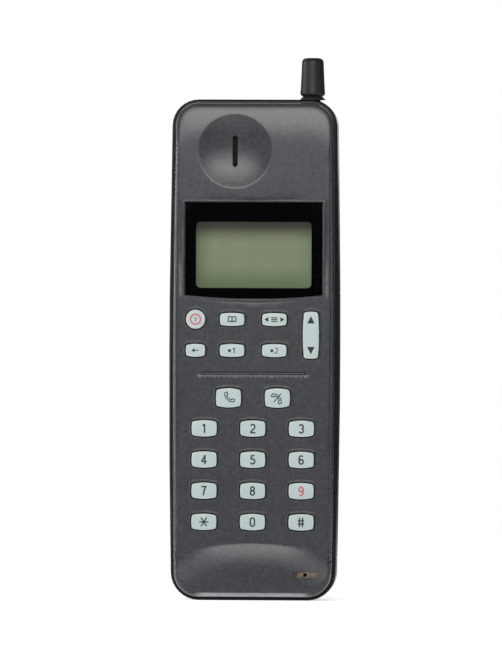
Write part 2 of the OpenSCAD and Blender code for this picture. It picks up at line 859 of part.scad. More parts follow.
// Rubber finger cap with an overhanging lip, bored for the whip
module antenna_cap() {
    r = cap_d / 2;
    lip = lip_d / 2;
    top = body_h + cap_top - cap_low_z;
    color([0.16, 0.16, 0.16]) translate([antenna_x, antenna_y, cap_low_z]) rotate_extrude() polygon(concat(
        [
            [whip_d / 2 + 0.02, 0], [lip - 0.65, 0], [lip, 0.65], [lip, 1.4], [lip - 0.2, 1.8],
            [r + 0.05, 3.4], [r, top - 1.6]
        ],
        arc(r - 1.2, top - 1.2, 1.2, 0, 90, 6),
        [[0, top], [0, top - 2.5], [whip_d / 2 + 0.02, top - 2.5]]
    ));
}

module antenna_rod() {
    color([0.1, 0.1, 0.1]) translate([antenna_x, antenna_y, 0]) {
        translate([0, 0, whip_low_z - 3]) cylinder(r = whip_stop_r, h = 3);
        translate([0, 0, whip_low_z - past])
            cylinder(d = whip_d, h = body_h + cap_top - 2.6 - whip_low_z + past);
    }
}

// Collar that flares towards the shell, on a shank through the shell's top
module antenna_bush() {
    color([0.1, 0.1, 0.1]) translate([antenna_x, antenna_y, 0]) rotate_extrude() polygon([
        [whip_d / 2 + slip, bush_low_z], [bush_r, bush_low_z], [bush_r, body_h + slip], [4, body_h + slip],
        [3.9, body_h + 0.4], [3.55, body_h + 0.8], [3.5, body_h + 1.15], [whip_d / 2 + slip, body_h + 1.15]
    ]);
}

// Leaf from the radio board that wraps one side of the whip
module antenna_clip() {
    color([0.8, 0.7, 0.4]) {
        z = rf_high - 6;
        in_r = whip_d / 2 + slip;
        block(rf_right - 3, antenna_x - in_r - 0.15, rf_y - 0.3, rf_y, z, z + 4);
        translate([antenna_x, antenna_y, z]) difference() {
            cylinder(r = in_r + 0.3, h = 4);
            translate([0, 0, -past]) cylinder(r = in_r, h = 4 + 2 * past);
            block(-0.5, 3, -3, 3, -past, 4 + past);
        }
    }
}

module rear_cover() {
    color([0.1, 0.105, 0.12]) difference() {
        union() {
            difference() {
                rear_form(0);
                slab(split_y - past, bay_in_y) polygon(outline(shell_wall));
                intersection() {
                    rear_form(shell_wall);
                    block(-body_w, body_w, split_y, back_y, pack_high_z + 2.5, body_h);
                }
                block(-20, 20, bay_in_y - past, back_y - 4, shell_wall, ledge_z - 5);
            }
            intersection() {
                rear_inside();
                rear_form(shell_wall / 2);
            }
        }
        pack_bay();
        for (side = [-1, 1])
            translate([side * hook_x, pivot_y, ledge_z])
                block(-hook_w / 2 - 0.5, hook_w / 2 + 0.5, -7, -1.8, -3.5, pack_low_z - ledge_z);
        for (s = screws) {
            post(s[0], s[1], split_y, back_y + past, screw_r + 0.15);
            post(s[0], s[1], screw_head_y, back_y + past, screw_head_r + 0.2);
        }
        block(-sim_half - 0.2, sim_half + 0.2, sim_floor_y, bay_y + past, sim_low_z, sim_z + sim_h + 5);
        for (i = [-1:1])
            translate([i * contact_pitch, 0, contact_z]) block(-1.3, 1.3, split_y, bay_y + past, -2.3, 2.3);
        translate([0, 0, pack_high_z])
            block(-tooth_w / 2 - 0.4, tooth_w / 2 + 0.4, tooth_y - 0.3, latch_in_y + 0.3, -1, 2);
        translate([antenna_x, antenna_y, body_h - 6]) cylinder(r = bush_r + slip, h = 8);
        translate([jack_x, jack_y, -past]) cylinder(r = collar_r + fit, h = shell_wall + 2 * past);
        translate([0, socket_y, -past]) linear_extrude(shell_wall + 2 * past)
            square([socket_w + 2 * fit, socket_h + 2 * fit], center = true);
    }
}

// Screw bosses, the SIM pocket's back and the latch keeper's wall, inside the rear shell
module rear_inside() {
    for (s = concat(low_screws, mid_screws)) post(s[0], s[1], board_back_y + slip, bay_in_y + bite, boss_r);
    for (s = top_screws) post(s[0], s[1], split_y + slip, back_y - 1, top_boss_r);
    sim_wall = 1.5;
    translate([0, 0, sim_low_z - sim_wall])
        block(
            -sim_half - sim_wall, sim_half + sim_wall, sim_floor_y - sim_wall, bay_in_y + bite,
            0, sim_h + sim_travel + 8.5
        );
    block(-6.4, 6.4, tooth_y - 2.5, back_y - 1, pack_high_z, pack_high_z + 4.5);
    translate([antenna_x, antenna_y, body_h - 4.5]) cylinder(r = bush_r + 0.7, h = 4);
}

// Six alike pan-head screws, driven from the back
module case_screws() {
    color([0.6, 0.6, 0.62])
        for (s = screws)
            translate([s[0], screw_tip_y, s[1]]) rotate([-90, 0, 0]) difference() {
                union() {
                    cylinder(r = screw_r, h = screw_head_y - screw_tip_y + bite);
                    translate([0, 0, screw_head_y - screw_tip_y])
                        cylinder(r = screw_head_r, h = screw_head_t);
                }
                translate([0, 0, screw_head_y - screw_tip_y + screw_head_t - 0.6]) {
                    translate([-1.2, -0.25, 0]) cube([2.4, 0.5, 1]);
                    translate([-0.25, -1.2, 0]) cube([0.5, 2.4, 1]);
                }
            }
}

// Connector on the main board with three spring tips that reach the pack
module power_contacts() {
    color([0.8, 0.7, 0.4]) {
        block(-8, 8, board_back_y, bay_in_y - 0.2, contact_z - 3, contact_z + 3);
        for (i = [-1:1])
            translate([i * contact_pitch, 0, contact_z]) across(-1, 1) polygon([
                [bay_in_y - past, -2], [bay_y + 0.2, -2], [pack_y + 0.5, -1], [pack_y + 0.7, 0],
                [pack_y + 0.5, 1], [bay_y + 0.2, 2], [bay_in_y - past, 2]
            ]);
    }
}

// Base, side rails and a band over the card
module sim_holder() {
    low = sim_z - 1;
    high = sim_z + sim_h + 4.8;
    color([0.6, 0.6, 0.6]) {
        block(-sim_half, sim_half, sim_floor_y, sim_floor_y + 0.4, low, high);
        for (side = [-1, 1])
            translate([side * (sim_half - sim_rail_w / 2), 0, 0])
                block(-sim_rail_w / 2, sim_rail_w / 2, sim_floor_y, bay_y - slip, low, high);
        block(-sim_half, sim_half, sim_floor_y, bay_y - slip, sim_z + sim_h + 0.3, high);
        block(-sim_half, sim_half, sim_y + sim_t + slip, bay_y - slip, sim_z + 7, sim_z + 11);
    }
}

module sim_contacts() {
    color([0.85, 0.72, 0.35])
        for (x = [-3.8, 3.8], row = [-1:1])
            translate([x, 0, sim_z + 7.5 + row * 2.54])
                block(-1, 1, sim_floor_y + 0.4, sim_y - slip, -0.8, 0.8);
}

// Plug-in card with one cut corner
module sim_card() {
    x = sim_w / 2;
    color([0.9, 0.9, 0.88]) slab(sim_y, sim_y + sim_t)
        polygon([
            [-x, sim_z], [x, sim_z], [x, sim_z + sim_h - 3],
            [x - 3, sim_z + sim_h], [-x, sim_z + sim_h]
        ]);
}

module charge_jack() {
    color([0.12, 0.12, 0.12]) translate([jack_x, jack_y, 0]) difference() {
        union() {
            block(-4, 4, board_back_y - jack_y, collar_r, socket_low_z, jack_low_z + jack_l + 1.2);
            translate([0, 0, jack_low_z]) cylinder(r = collar_r, h = socket_low_z - jack_low_z + bite);
        }
        translate([0, 0, jack_low_z - past]) cylinder(r = jack_r, h = jack_l + past);
    }
}

// Flat accessory socket with a tongue of contacts
module system_connector() {
    room = socket_w / 2 - 0.8;
    color([0.14, 0.14, 0.14]) {
        difference() {
            union() {
                translate([0, 0, socket_low_z])
                    block(-socket_w / 2 - 1, socket_w / 2 + 1, board_back_y, socket_y + 2.1, 0, 5);
                translate([0, socket_y, 0.5]) linear_extrude(socket_low_z - 0.5 + bite)
                    square([socket_w, socket_h], center = true);
            }
            block(-room, room, socket_y - 1, socket_y + 1, -past, 5);
        }
        block(0.8 - room, room - 0.8, socket_y - 0.3, socket_y + 0.3, 1, 5 + bite);
    }
}

// Hollow of the pack inside its walls
module pack_hollow() {
    high = pack_high_z - pack_tilt - pack_wall;
    intersection() {
        rear_form(pack_wall);
        block(-body_w, body_w, tray_floor_y, back_y - pack_wall, pack_low_z + pack_wall, high);
    }
}

// Inner half of the pack, with windows for its three contacts
module battery_tray() {
    color([0.13, 0.135, 0.15]) {
        difference() {
            intersection() {
                pack_form();
                block(-body_w, body_w, bay_y, pack_split_y, 0, body_h);
            }
            pack_hollow();
            for (i = [-1:1])
                translate([i * contact_pitch, bay_y, contact_z])
                    block(-1.5, 1.5, 0, tray_floor_y + past - bay_y, -2.5, 2.5);
        }
    }
}

// Outer half of the pack, with the latch's window, the spring's seat and the two foot hooks
module battery_cover() {
    low = latch_z - latch_h / 2 - latch_travel - 0.2;
    high = latch_z + latch_h / 2 + 0.2;
    color([0.1, 0.105, 0.12]) {
        difference() {
            intersection() {
                pack_form();
                block(-body_w, body_w, pack_split_y + slip, back_y + past, 0, body_h);
            }
            pack_hollow();
            block(-latch_w / 2 - 0.2, latch_w / 2 + 0.2, latch_in_y - 0.5, back_y + past, low, high);
            translate([0, 0, latch_z])
                block(-tooth_w / 2 - 0.2, tooth_w / 2 + 0.2, tooth_y - 0.2, latch_in_y + 0.15, 0, 10);
        }
        block(-4, 4, tooth_y - 2, back_y - pack_wall + bite, spring_low_z - 1.6, spring_low_z);
        for (side = [-1, 1])
            across(side * hook_x - hook_w / 2, side * hook_x + hook_w / 2) polygon([
                [pivot_y - 4, pack_low_z + pack_wall], [pivot_y - 4, ledge_z - 2.6],
                [pivot_y - 2.2, ledge_z - 2.6], [pivot_y - 2.2, pack_low_z + pack_wall]
            ]);
    }
}

module battery_cells() {
    color([0.2, 0.3, 0.5])
        for (i = [0:cell_count - 1])
            translate([(i - (cell_count - 1) / 2) * (cell_d + 0.1), cell_y, cell_z]) {
                cylinder(d = cell_d, h = cell_l - 1);
                cylinder(d = 3.6, h = cell_l);
            }
}

module battery_contacts() {
    color([0.85, 0.72, 0.35])
        for (i = [-1:1])
            translate([i * contact_pitch, tray_floor_y, contact_z]) block(-2.2, 2.2, 0, 0.3, -3.2, 3.2);
}

// Finger pad with grip ribs, a guide plate under the wall and a tooth at the top
module battery_latch() {
    low = latch_z - latch_h / 2;
    rib_n = 4;
    color([0.12, 0.12, 0.14]) difference() {
        union() {
            block(-latch_w / 2, latch_w / 2, latch_in_y - 1, back_y - 0.3, low, low + latch_h);
            translate([0, 0, low])
                block(-latch_w / 2 - 1.4, latch_w / 2 + 1.4, latch_in_y - 1, latch_in_y, -1.5, latch_h + 1);
            block(-tooth_w / 2, tooth_w / 2, tooth_y, latch_in_y, low, pack_high_z - 0.15);
        }
        for (i = [0:rib_n - 1])
            translate([0, back_y - 0.3, low + 1.2 + i * 1.2]) rotate([0, 90, 0])
                cylinder(r = 0.4, h = latch_w + 2, center = true);
    }
}

// Compression spring under the latch, one unbroken wire
module latch_spring() {
    turns = 5;
    low = spring_low_z + spring_wire + slip;
    rise = latch_z - latch_h / 2 - 1.5 - spring_wire - slip - low;
    path = [
        for (i = [0:8 * turns])
            let (a = 45 * i)
            [spring_r * cos(a), latch_in_y - 1.9 + spring_r * sin(a), low + rise * i / (8 * turns)]
    ];
    color([0.7, 0.7, 0.7]) wire(path, spring_wire, 6);
}

front_cover();
display_window();
window_mask();
earpiece_screen();
speaker_gasket();
earpiece_speaker();
microphone();
microphone_boot();
key_power();
key_memory();
key_menu();
key_clear();
key_p1();
key_p2();
key_call();
key_end();
key_1();
key_2();
key_3();
key_4();
key_5();
key_6();
key_7();
key_8();
key_9();
key_star();
key_0();
key_hash();
key_scroll();
keypad_mat();
key_leds();
main_board();
logic_shield();
lcd_glass();
lcd_frame();
lcd_light_guide();
lcd_connectors();
rf_board();
rf_shield();
board_connector();
buzzer();
antenna_cap();
antenna_rod();
antenna_bush();
antenna_clip();
rear_cover();
case_screws();
power_contacts();
sim_holder();
sim_contacts();
sim_card();
charge_jack();
system_connector();
battery_tray();
battery_cover();
battery_cells();
battery_contacts();
battery_latch();
latch_spring();
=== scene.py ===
"""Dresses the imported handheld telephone: its shells, window, keys, aerial, battery pack and finishes.

Lengths in this file are millimetres, and become metres where a mesh is made. X runs to the right of
someone who faces the keys, Z up, and the keys face -Y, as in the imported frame.
"""

import logging
import math
from dataclasses import dataclass, field
from enum import Enum
from typing import Callable, ClassVar, Sequence

import bmesh
import bpy
import numpy as np
from mathutils import Matrix, Vector
from mathutils.geometry import delaunay_2d_cdt
from mathutils.kdtree import KDTree


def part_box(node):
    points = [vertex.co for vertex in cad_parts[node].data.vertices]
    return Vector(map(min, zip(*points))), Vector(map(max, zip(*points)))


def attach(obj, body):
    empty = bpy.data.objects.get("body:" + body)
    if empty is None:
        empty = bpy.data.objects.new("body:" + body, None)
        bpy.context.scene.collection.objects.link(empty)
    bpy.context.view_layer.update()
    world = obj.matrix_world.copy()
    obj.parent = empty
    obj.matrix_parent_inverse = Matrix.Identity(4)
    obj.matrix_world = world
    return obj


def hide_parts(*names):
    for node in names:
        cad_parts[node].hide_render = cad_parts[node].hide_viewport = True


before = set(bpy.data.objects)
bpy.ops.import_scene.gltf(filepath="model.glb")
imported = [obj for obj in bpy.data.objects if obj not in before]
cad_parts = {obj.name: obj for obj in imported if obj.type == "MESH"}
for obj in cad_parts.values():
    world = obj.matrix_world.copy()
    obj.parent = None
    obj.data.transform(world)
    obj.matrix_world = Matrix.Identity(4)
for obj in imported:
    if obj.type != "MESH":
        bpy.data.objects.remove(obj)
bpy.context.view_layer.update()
MM = 0.001
LOG = logging.getLogger("telephone")

Colour = tuple[float, float, float]
Points = np.ndarray


def srgb(red: int, green: int, blue: int) -> Colour:
    """Linear colour of an 8-bit display colour.

    Args:
        red: Red, 0 to 255.
        green: Green, 0 to 255.
        blue: Blue, 0 to 255.

    Returns:
        The colour in linear light.
    """
    def linear(value: int) -> float:
        """Linear value of one 8-bit channel."""
        share = value / 255
        return share / 12.92 if share <= 0.04045 else ((share + 0.055) / 1.055) ** 2.4
    return linear(red), linear(green), linear(blue)


@dataclass(frozen=True)
class Box:
    """A node's box at rest, in millimetres."""

    low: Vector
    high: Vector

    @classmethod
    def of(cls, node: str) -> "Box":
        """Box of a CAD node."""
        low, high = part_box(node)
        return cls(low / MM, high / MM)

    @property
    def middle(self) -> Vector:
        """Centre of the box."""
        return (self.low + self.high) / 2

    @property
    def size(self) -> Vector:
        """Length of each side."""
        return self.high - self.low


# ---------------------------------------------------------------- shading


class ShaderGraph:
    """A material's node tree, with short calls for what the finishes share."""

    def __init__(self, name: str, world: bpy.types.World | None = None) -> None:
        """Starts an empty node tree.

        Args:
            name: The material's name.
            world: The world whose tree it is, in place of a new material's.
        """
        self.material = world or bpy.data.materials.new("finish_" + name)
        self.material.use_nodes = True
        self.tree = self.material.node_tree
        self.tree.nodes.clear()
        self.place = self.node("ShaderNodeTexCoord").outputs["Object"]

    def node(self, kind: str, inputs: dict | None = None, **settings) -> bpy.types.Node:
        """Adds a node, sets it and links it.

        Args:
            kind: The node's type name.
            inputs: Socket name or index to a value, or to the output that feeds it.
            settings: Properties of the node itself.

        Returns:
            The new node.
        """
        made = self.tree.nodes.new(kind)
        for name, value in settings.items():
            setattr(made, name, value)
        for key, value in (inputs or {}).items():
            if isinstance(value, bpy.types.NodeSocket):
                self.tree.links.new(value, made.inputs[key])
            else:
                made.inputs[key].default_value = value
        return made

    def noise(self, size: float, detail: float = 2.0, roughness: float = 0.5, seed: float = 0.0):
        """Noise whose features are about size millimetres wide."""
        return self.node("ShaderNodeTexNoise", {
            "Vector": self.place, "W": seed, "Scale": 1 / (size * MM), "Detail": detail,
            "Roughness": roughness}, noise_dimensions="4D").outputs["Fac"]

    def specks(self, spacing: float, size: float, seed: float = 0.0):
        """Sparse round specks: 1 inside a speck of about size millimetres, else 0."""
        cells = self.node("ShaderNodeTexVoronoi", {
            "Vector": self.place, "W": seed, "Scale": 1 / (spacing * MM)}, voronoi_dimensions="4D")
        return self.ramp(cells.outputs["Distance"], size / spacing, size / spacing * 0.4)

    def ramp(self, value, low: float, high: float, to_low: float = 0.0, to_high: float = 1.0):
        """Value from low..high mapped to to_low..to_high and clamped."""
        return self.node("ShaderNodeMapRange", {
            "Value": value, "From Min": low, "From Max": high, "To Min": to_low, "To Max": to_high
        }).outputs["Result"]

    def calc(self, operation: str, first, second=0.0):
        """Result of a Math node's operation on one or two values."""
        return self.node("ShaderNodeMath", {0: first, 1: second}, operation=operation).outputs[0]

    def times(self, first, second):
        """Product of two values."""
        return self.calc("MULTIPLY", first, second)

    def mix(self, share, first, second):
        """Colour that goes from first to second as share goes from 0 to 1."""
        pair = [(*c, 1.0) if isinstance(c, tuple) else c for c in (first, second)]
        made = self.node("ShaderNodeMix", {"Factor": share}, data_type="RGBA")
        for socket, value in zip([s for s in made.inputs if s.type == "RGBA"], pair):
            if isinstance(value, bpy.types.NodeSocket):
                self.tree.links.new(value, socket)
            else:
                socket.default_value = value
        return [s for s in made.outputs if s.type == "RGBA"][0]

    def attribute(self, name: str):
        """A mesh attribute's value."""
        return self.node("ShaderNodeAttribute", attribute_name=name).outputs["Fac"]

    def axis(self, letter: str):
        """One coordinate of the surface, in metres."""
        return self.node("ShaderNodeSeparateXYZ", {"Vector": self.place}).outputs[letter]

    def bump(self, height, depth: float, strength: float = 1.0):
        """Normal of a surface that rises by depth millimetres where height is 1."""
        return self.node("ShaderNodeBump", {
            "Height": height, "Distance": depth * MM, "Strength": strength}).outputs["Normal"]

    def principled(self, **inputs) -> bpy.types.Node:
        """The Principled shader, where an underscore in a name stands for a space."""
        values = {}
        for name, value in inputs.items():
            wide = isinstance(value, tuple) and len(value) == 3
            values[name.replace("_", " ")] = (*value, 1.0) if wide else value
        return self.node("ShaderNodeBsdfPrincipled", values)

    def finish(self, shader) -> bpy.types.Material:
        """Links a shader to the output and returns the material."""
        socket = shader.outputs[0] if isinstance(shader, bpy.types.Node) else shader
        self.node("ShaderNodeOutputMaterial", {"Surface": socket})
        return self.material


@dataclass(frozen=True)
class MouldedPlastic:
    """Fine-grained moulded plastic with mottling and settled dust."""

    name: str
    colour: Colour
    roughness: float = 0.5
    grain: float = 0.3
    grain_depth: float = 0.012
    mottle: float = 0.10
    dust: float = 0.25
    dust_colour: Colour = (0.42, 0.39, 0.33)
    specular: float = 0.5

    def tinted(self, factor: float) -> Colour:
        """The colour times a factor."""
        return tuple(min(c * factor, 1.0) for c in self.colour)

    def base(self, g: ShaderGraph):
        """Mottled, grained and dusty base colour."""
        broad = g.noise(9.0, 3.0, 0.55, 3.0)
        colour = g.mix(g.ramp(broad, 0.3, 0.7), self.tinted(1 - self.mottle), self.tinted(1 + self.mottle))
        grain = g.noise(self.grain * 3.0, 3.0, 0.8, 5.0)
        colour = g.mix(g.ramp(grain, 0.5, 0.66, 0.0, self.mottle * 8), colour, self.tinted(2.1))
        colour = g.mix(g.ramp(grain, 0.5, 0.34, 0.0, self.mottle * 8), colour, self.tinted(0.3))
        if self.dust:
            patches = g.ramp(g.noise(14.0, 2.0, 0.5, 8.0), 0.4, 0.65, 0.2 * self.dust, self.dust)
            colour = g.mix(g.times(g.specks(2.6, 0.2, 1.0), patches), colour, self.dust_colour)
        return colour

    def build(self) -> bpy.types.Material:
        """Makes the material."""
        g = ShaderGraph(self.name)
        rough = g.ramp(g.noise(9.0, 3.0, 0.55, 3.0), 0.3, 0.7, self.roughness - 0.04, self.roughness + 0.05)
        normal = g.bump(g.noise(self.grain, 3.0, 0.6), self.grain_depth)
        return g.finish(g.principled(
            Base_Color=self.base(g), Roughness=rough, Normal=normal, Specular_IOR_Level=self.specular))


@dataclass(frozen=True)
class WornCover(MouldedPlastic):
    """The front cover's plastic: painted sheen that pales it towards the top, scratches, a painted highlight on the
    foot edge, and painted shade with dirt in its openings.
    """

    painted_sheen_colour: Colour = (0.080, 0.080, 0.076)
    scratch_colour: Colour = (0.30, 0.29, 0.27)
    soot_and_shade_colour: Colour = (0.012, 0.010, 0.006)
    grime_colour: Colour = (0.19, 0.135, 0.085)
    painted_foot_highlight_colour: Colour = (0.56, 0.57, 0.61)
    rubbed_roughness: float = 0.27
    painted_sheen_span: tuple[float, float] = (0.010, 0.100)
    painted_crest_span: tuple[float, float] = (0.157, 0.165)

    def build(self) -> bpy.types.Material:
        """Makes the material."""
        g = ShaderGraph(self.name)
        colour = self.base(g)
        # painted sheen: the face grows paler towards the top and most on the rolled crest, as if lit from above
        height = g.ramp(g.axis("Z"), *self.painted_sheen_span, 0.0, 0.09)
        crest = g.ramp(g.axis("Z"), *self.painted_crest_span, 0.0, 0.55)
        film = g.times(g.calc("ADD", height, crest), g.ramp(g.noise(1.1, 4.0, 0.7, 12.0), 0.3, 0.62, 0.45, 1.0))
        colour = g.mix(film, colour, self.painted_sheen_colour)
        colour = g.mix(self.scratches(g), colour, self.scratch_colour)
        colour = g.mix(self.marks(g), colour, self.soot_and_shade_colour)
        # painted shade with soot: the openings' walls, slots, bezel dip and groove ends are darkened
        colour = g.mix(g.attribute("soot_and_shade"), colour, self.soot_and_shade_colour)
        patchy = g.ramp(g.noise(0.8, 4.0, 0.7, 15.0), 0.36, 0.52, 0.15, 1.0)
        colour = g.mix(g.times(g.attribute("grime"), patchy), colour, self.grime_colour)
        # painted highlight: the foot's round edge pales as if it reflected the bright floor below
        colour = g.mix(g.times(g.attribute("painted_foot_highlight"), g.ramp(g.noise(2.0, 3.0, 0.6, 17.0), 0.3, 0.6, 0.75, 1.0)),
                       colour, self.painted_foot_highlight_colour)
        rough = g.ramp(g.attribute("polish"), 0.0, 1.0, self.roughness, self.rubbed_roughness)
        normal = g.bump(g.noise(self.grain, 3.0, 0.6), self.grain_depth, 0.8)
        return g.finish(g.principled(
            Base_Color=colour, Roughness=rough, Normal=normal, Specular_IOR_Level=self.specular))

    def scratches(self, g: ShaderGraph):
        """Fine scratches, gathered where the top right corner has been rubbed."""
        shares = []
        for turn, seed in ((38, 0.0), (-27, 4.0), (71, 9.0)):
            turned = g.node("ShaderNodeMapping", {
                "Vector": g.place, "Rotation": (0.0, math.radians(turn), 0.0), "Scale": (1.0, 1.0, 0.07)})
            lines = g.node("ShaderNodeTexNoise", {
                "Vector": turned.outputs[0], "W": seed, "Scale": 1 / (0.45 * MM), "Detail": 1.5,
                "Roughness": 0.6}, noise_dimensions="4D")
            shares.append(g.ramp(lines.outputs["Fac"], 0.69, 0.74, 0.0, 0.4))
        lines = g.calc("MAXIMUM", g.calc("MAXIMUM", shares[0], shares[1]), shares[2])
        across = g.ramp(g.axis("X"), 0.002, 0.020, 0.12, 1.0)
        up = g.ramp(g.axis("Z"), 0.138, 0.158, 0.10, 1.0)
        return g.times(lines, g.times(across, up))

    def marks(self, g: ShaderGraph):
        """Sparse dark marks over the whole face."""
        return g.times(g.specks(7.0, 0.42, 21.0), g.ramp(g.noise(12.0, 2.0, 0.5, 31.0), 0.5, 0.6, 0.0, 0.7))


@dataclass(frozen=True)
class KeyResin:
    """Pale translucent key resin with a soft sheen."""

    name: str = "key_resin"
    colour: Colour = srgb(186, 201, 202)
    soot_and_shade_colour: Colour = (0.016, 0.012, 0.006)
    painted_top_glow_colour: Colour = (0.36, 0.19, 0.06)

    def build(self) -> bpy.types.Material:
        """Makes the material."""
        g = ShaderGraph(self.name)
        broad = g.noise(2.6, 3.0, 0.6)
        warm = tuple(c * f for c, f in zip(self.colour, (0.99, 0.985, 0.95)))
        colour = g.mix(g.ramp(broad, 0.35, 0.7), self.colour, warm)
        # painted highlight: pale cream along the cap's edge
        colour = g.mix(g.ramp(g.attribute("edge"), 0.0, 1.0, 0.0, 0.45), colour, (0.78, 0.76, 0.66))
        # painted shade with soot on the cap's walls below its round edge
        colour = g.mix(g.attribute("soot_and_shade"), colour, self.soot_and_shade_colour)
        patches = g.ramp(g.noise(2.4, 2.0, 0.5, 6.0), 0.46, 0.6)
        # painted light: amber on the cap's top wall, as if lit from above through the resin
        colour = g.mix(g.times(g.attribute("painted_top_glow"), patches), colour, self.painted_top_glow_colour)
        fine = g.noise(0.15, 2.0, 0.6)
        return g.finish(g.principled(
            Base_Color=colour, Roughness=0.4, Normal=g.bump(fine, 0.004), Specular_IOR_Level=0.4))


@dataclass(frozen=True)
class Ink:
    """Printed ink, slightly worn."""

    name: str
    colour: Colour

    def build(self) -> bpy.types.Material:
        """Makes the material."""
        g = ShaderGraph(self.name)
        worn = g.ramp(g.noise(0.25, 3.0, 0.6), 0.5, 0.85, 0.0, 0.2)
        pale = tuple(0.7 * c + 0.3 * 0.55 for c in self.colour)
        return g.finish(g.principled(Base_Color=g.mix(worn, self.colour, pale), Roughness=0.6))


@dataclass(frozen=True)
class ClearPane:
    """Thin clear plastic that lets lamps through."""

    name: str = "clear_pane"

    def build(self) -> bpy.types.Material:
        """Makes the material."""
        g = ShaderGraph(self.name)
        edge = g.node("ShaderNodeFresnel", {"IOR": 1.45}).outputs[0]
        behind = g.node("ShaderNodeNewGeometry").outputs["Backfacing"]
        shadow = g.node("ShaderNodeLightPath").outputs["Is Shadow Ray"]
        share = g.times(edge, g.ramp(g.calc("MAXIMUM", behind, shadow), 0.0, 1.0, 1.0, 0.0))
        clear = g.node("ShaderNodeBsdfTransparent", {"Color": (0.985, 0.99, 0.985, 1.0)})
        gloss = g.node("ShaderNodeBsdfGlossy", {"Color": (1, 1, 1, 1), "Roughness": 0.04})
        return g.finish(g.node("ShaderNodeMixShader", {0: share, 1: clear.outputs[0], 2: gloss.outputs[0]}))


@dataclass(frozen=True)
class WindowPrint:
    """Gloss black print with dust behind the pane."""

    name: str = "window_print"

    def build(self) -> bpy.types.Material:
        """Makes the material."""
        g = ShaderGraph(self.name)
        margin = g.ramp(g.calc("ABSOLUTE", g.axis("X")), 0.0185, 0.0215)
        specks = g.times(g.specks(1.1, 0.16, 4.0), g.ramp(g.noise(5.0, 2.0, 0.5, 2.0), 0.45, 0.7, 0.02, 0.8))
        specks = g.times(specks, g.ramp(margin, 0.0, 1.0, 0.25, 1.0))
        film = g.times(g.ramp(g.noise(0.9, 4.0, 0.75, 5.0), 0.5, 0.8, 0.0, 0.05), margin)
        colour = g.mix(film, (0.0005, 0.0005, 0.0007), (0.12, 0.14, 0.20))
        colour = g.mix(specks, colour, (0.07, 0.08, 0.11))
        return g.finish(g.principled(Base_Color=colour, Roughness=0.2, Specular_IOR_Level=0.05))


@dataclass(frozen=True)
class DisplayFace:
    """Reflective display: grey-green, darker towards its sides, its left edge and its bottom, with a painted shadow
    under its top edge and specks of dust.
    """

    box: Box
    name: str = "display_face"

    def build(self) -> bpy.types.Material:
        """Makes the material."""
        g = ShaderGraph(self.name)
        centre = self.box.middle
        half = self.box.size / 2
        across = g.calc("ABSOLUTE", g.calc("SUBTRACT", g.axis("X"), centre.x * MM))
        side = g.ramp(across, (half.x - 6) * MM, (half.x - 1.5) * MM, 0.0, 0.42)
        low = g.ramp(g.axis("Z"), (centre.z - 4.0) * MM, (centre.z - 9.0) * MM, 0.0, 1.0)
        # painted shadow that the frame's top lip would cast on the display
        top = g.calc("POWER", g.ramp(g.axis("Z"), (centre.z + 4.0) * MM, (centre.z + 9.4) * MM), 1.25)
        broad = g.noise(7.0, 3.0, 0.6)
        colour = g.mix(g.ramp(broad, 0.3, 0.75), srgb(121, 131, 101), srgb(131, 137, 112))
        colour = g.mix(low, colour, srgb(98, 112, 82))
        colour = g.mix(side, colour, srgb(103, 116, 88))
        left = g.ramp(g.axis("X"), (centre.x - half.x + 5.5) * MM, (centre.x - half.x + 1.0) * MM, 0.0, 0.5)
        colour = g.mix(left, colour, srgb(88, 97, 72))
        # painted shadow along the top
        colour = g.mix(g.times(top, 0.97), colour, srgb(36, 38, 28))
        dust = g.times(g.specks(1.3, 0.16, 6.0), g.ramp(g.noise(6.0, 2.0, 0.5, 9.0), 0.4, 0.7, 0.0, 0.55))
        colour = g.mix(dust, colour, srgb(170, 180, 150))
        return g.finish(g.principled(Base_Color=colour, Roughness=0.42, Specular_IOR_Level=0.25))


@dataclass(frozen=True)
class Rubber:
    """Matte rubber with a dry sheen."""

    name: str
    colour: Colour
    roughness: float = 0.55

    def build(self) -> bpy.types.Material:
        """Makes the material."""
        g = ShaderGraph(self.name)
        broad = g.noise(2.5, 4.0, 0.6)
        pale = tuple(c * 1.6 + 0.004 for c in self.colour)
        colour = g.mix(g.ramp(broad, 0.4, 0.75), self.colour, pale)
        rough = g.ramp(broad, 0.3, 0.7, self.roughness - 0.05, self.roughness + 0.08)
        return g.finish(g.principled(
            Base_Color=colour, Roughness=rough, Normal=g.bump(g.noise(0.2, 3.0, 0.6), 0.01),
            Specular_IOR_Level=0.3))


@dataclass(frozen=True)
class Thread:
    """Dark brown woven thread with gold flecks of dust."""

    name: str = "screen_thread"

    def build(self) -> bpy.types.Material:
        """Makes the material."""
        g = ShaderGraph(self.name)
        flecks = g.ramp(g.noise(0.45, 3.0, 0.8, 2.0), 0.56, 0.66, 0.0, 0.8)
        colour = g.mix(flecks, (0.008, 0.006, 0.004), (0.21, 0.14, 0.055))
        return g.finish(g.principled(Base_Color=colour, Roughness=0.6, Specular_IOR_Level=0.25))


@dataclass(frozen=True)
class Metal:
    """Stamped, plated or drawn metal with fine brushing along one axis."""

    name: str
    colour: Colour
    roughness: float = 0.32
    stretch: tuple[float, float, float] = (1.0, 1.0, 0.08)

    def build(self) -> bpy.types.Material:
        """Makes the material."""
        g = ShaderGraph(self.name)
        along = g.node("ShaderNodeMapping", {"Vector": g.place, "Scale": self.stretch}).outputs[0]
        lines = g.node("ShaderNodeTexNoise", {"Vector": along, "Scale": 1 / (0.2 * MM), "Detail": 2.0})
        fac = lines.outputs["Fac"]
        deep = tuple(c * 0.72 for c in self.colour)
        return g.finish(g.principled(
            Base_Color=g.mix(g.ramp(fac, 0.3, 0.7), deep, self.colour), Metallic=1.0,
            Roughness=g.ramp(fac, 0.3, 0.7, self.roughness - 0.06, self.roughness + 0.08),
            Normal=g.bump(fac, 0.003)))


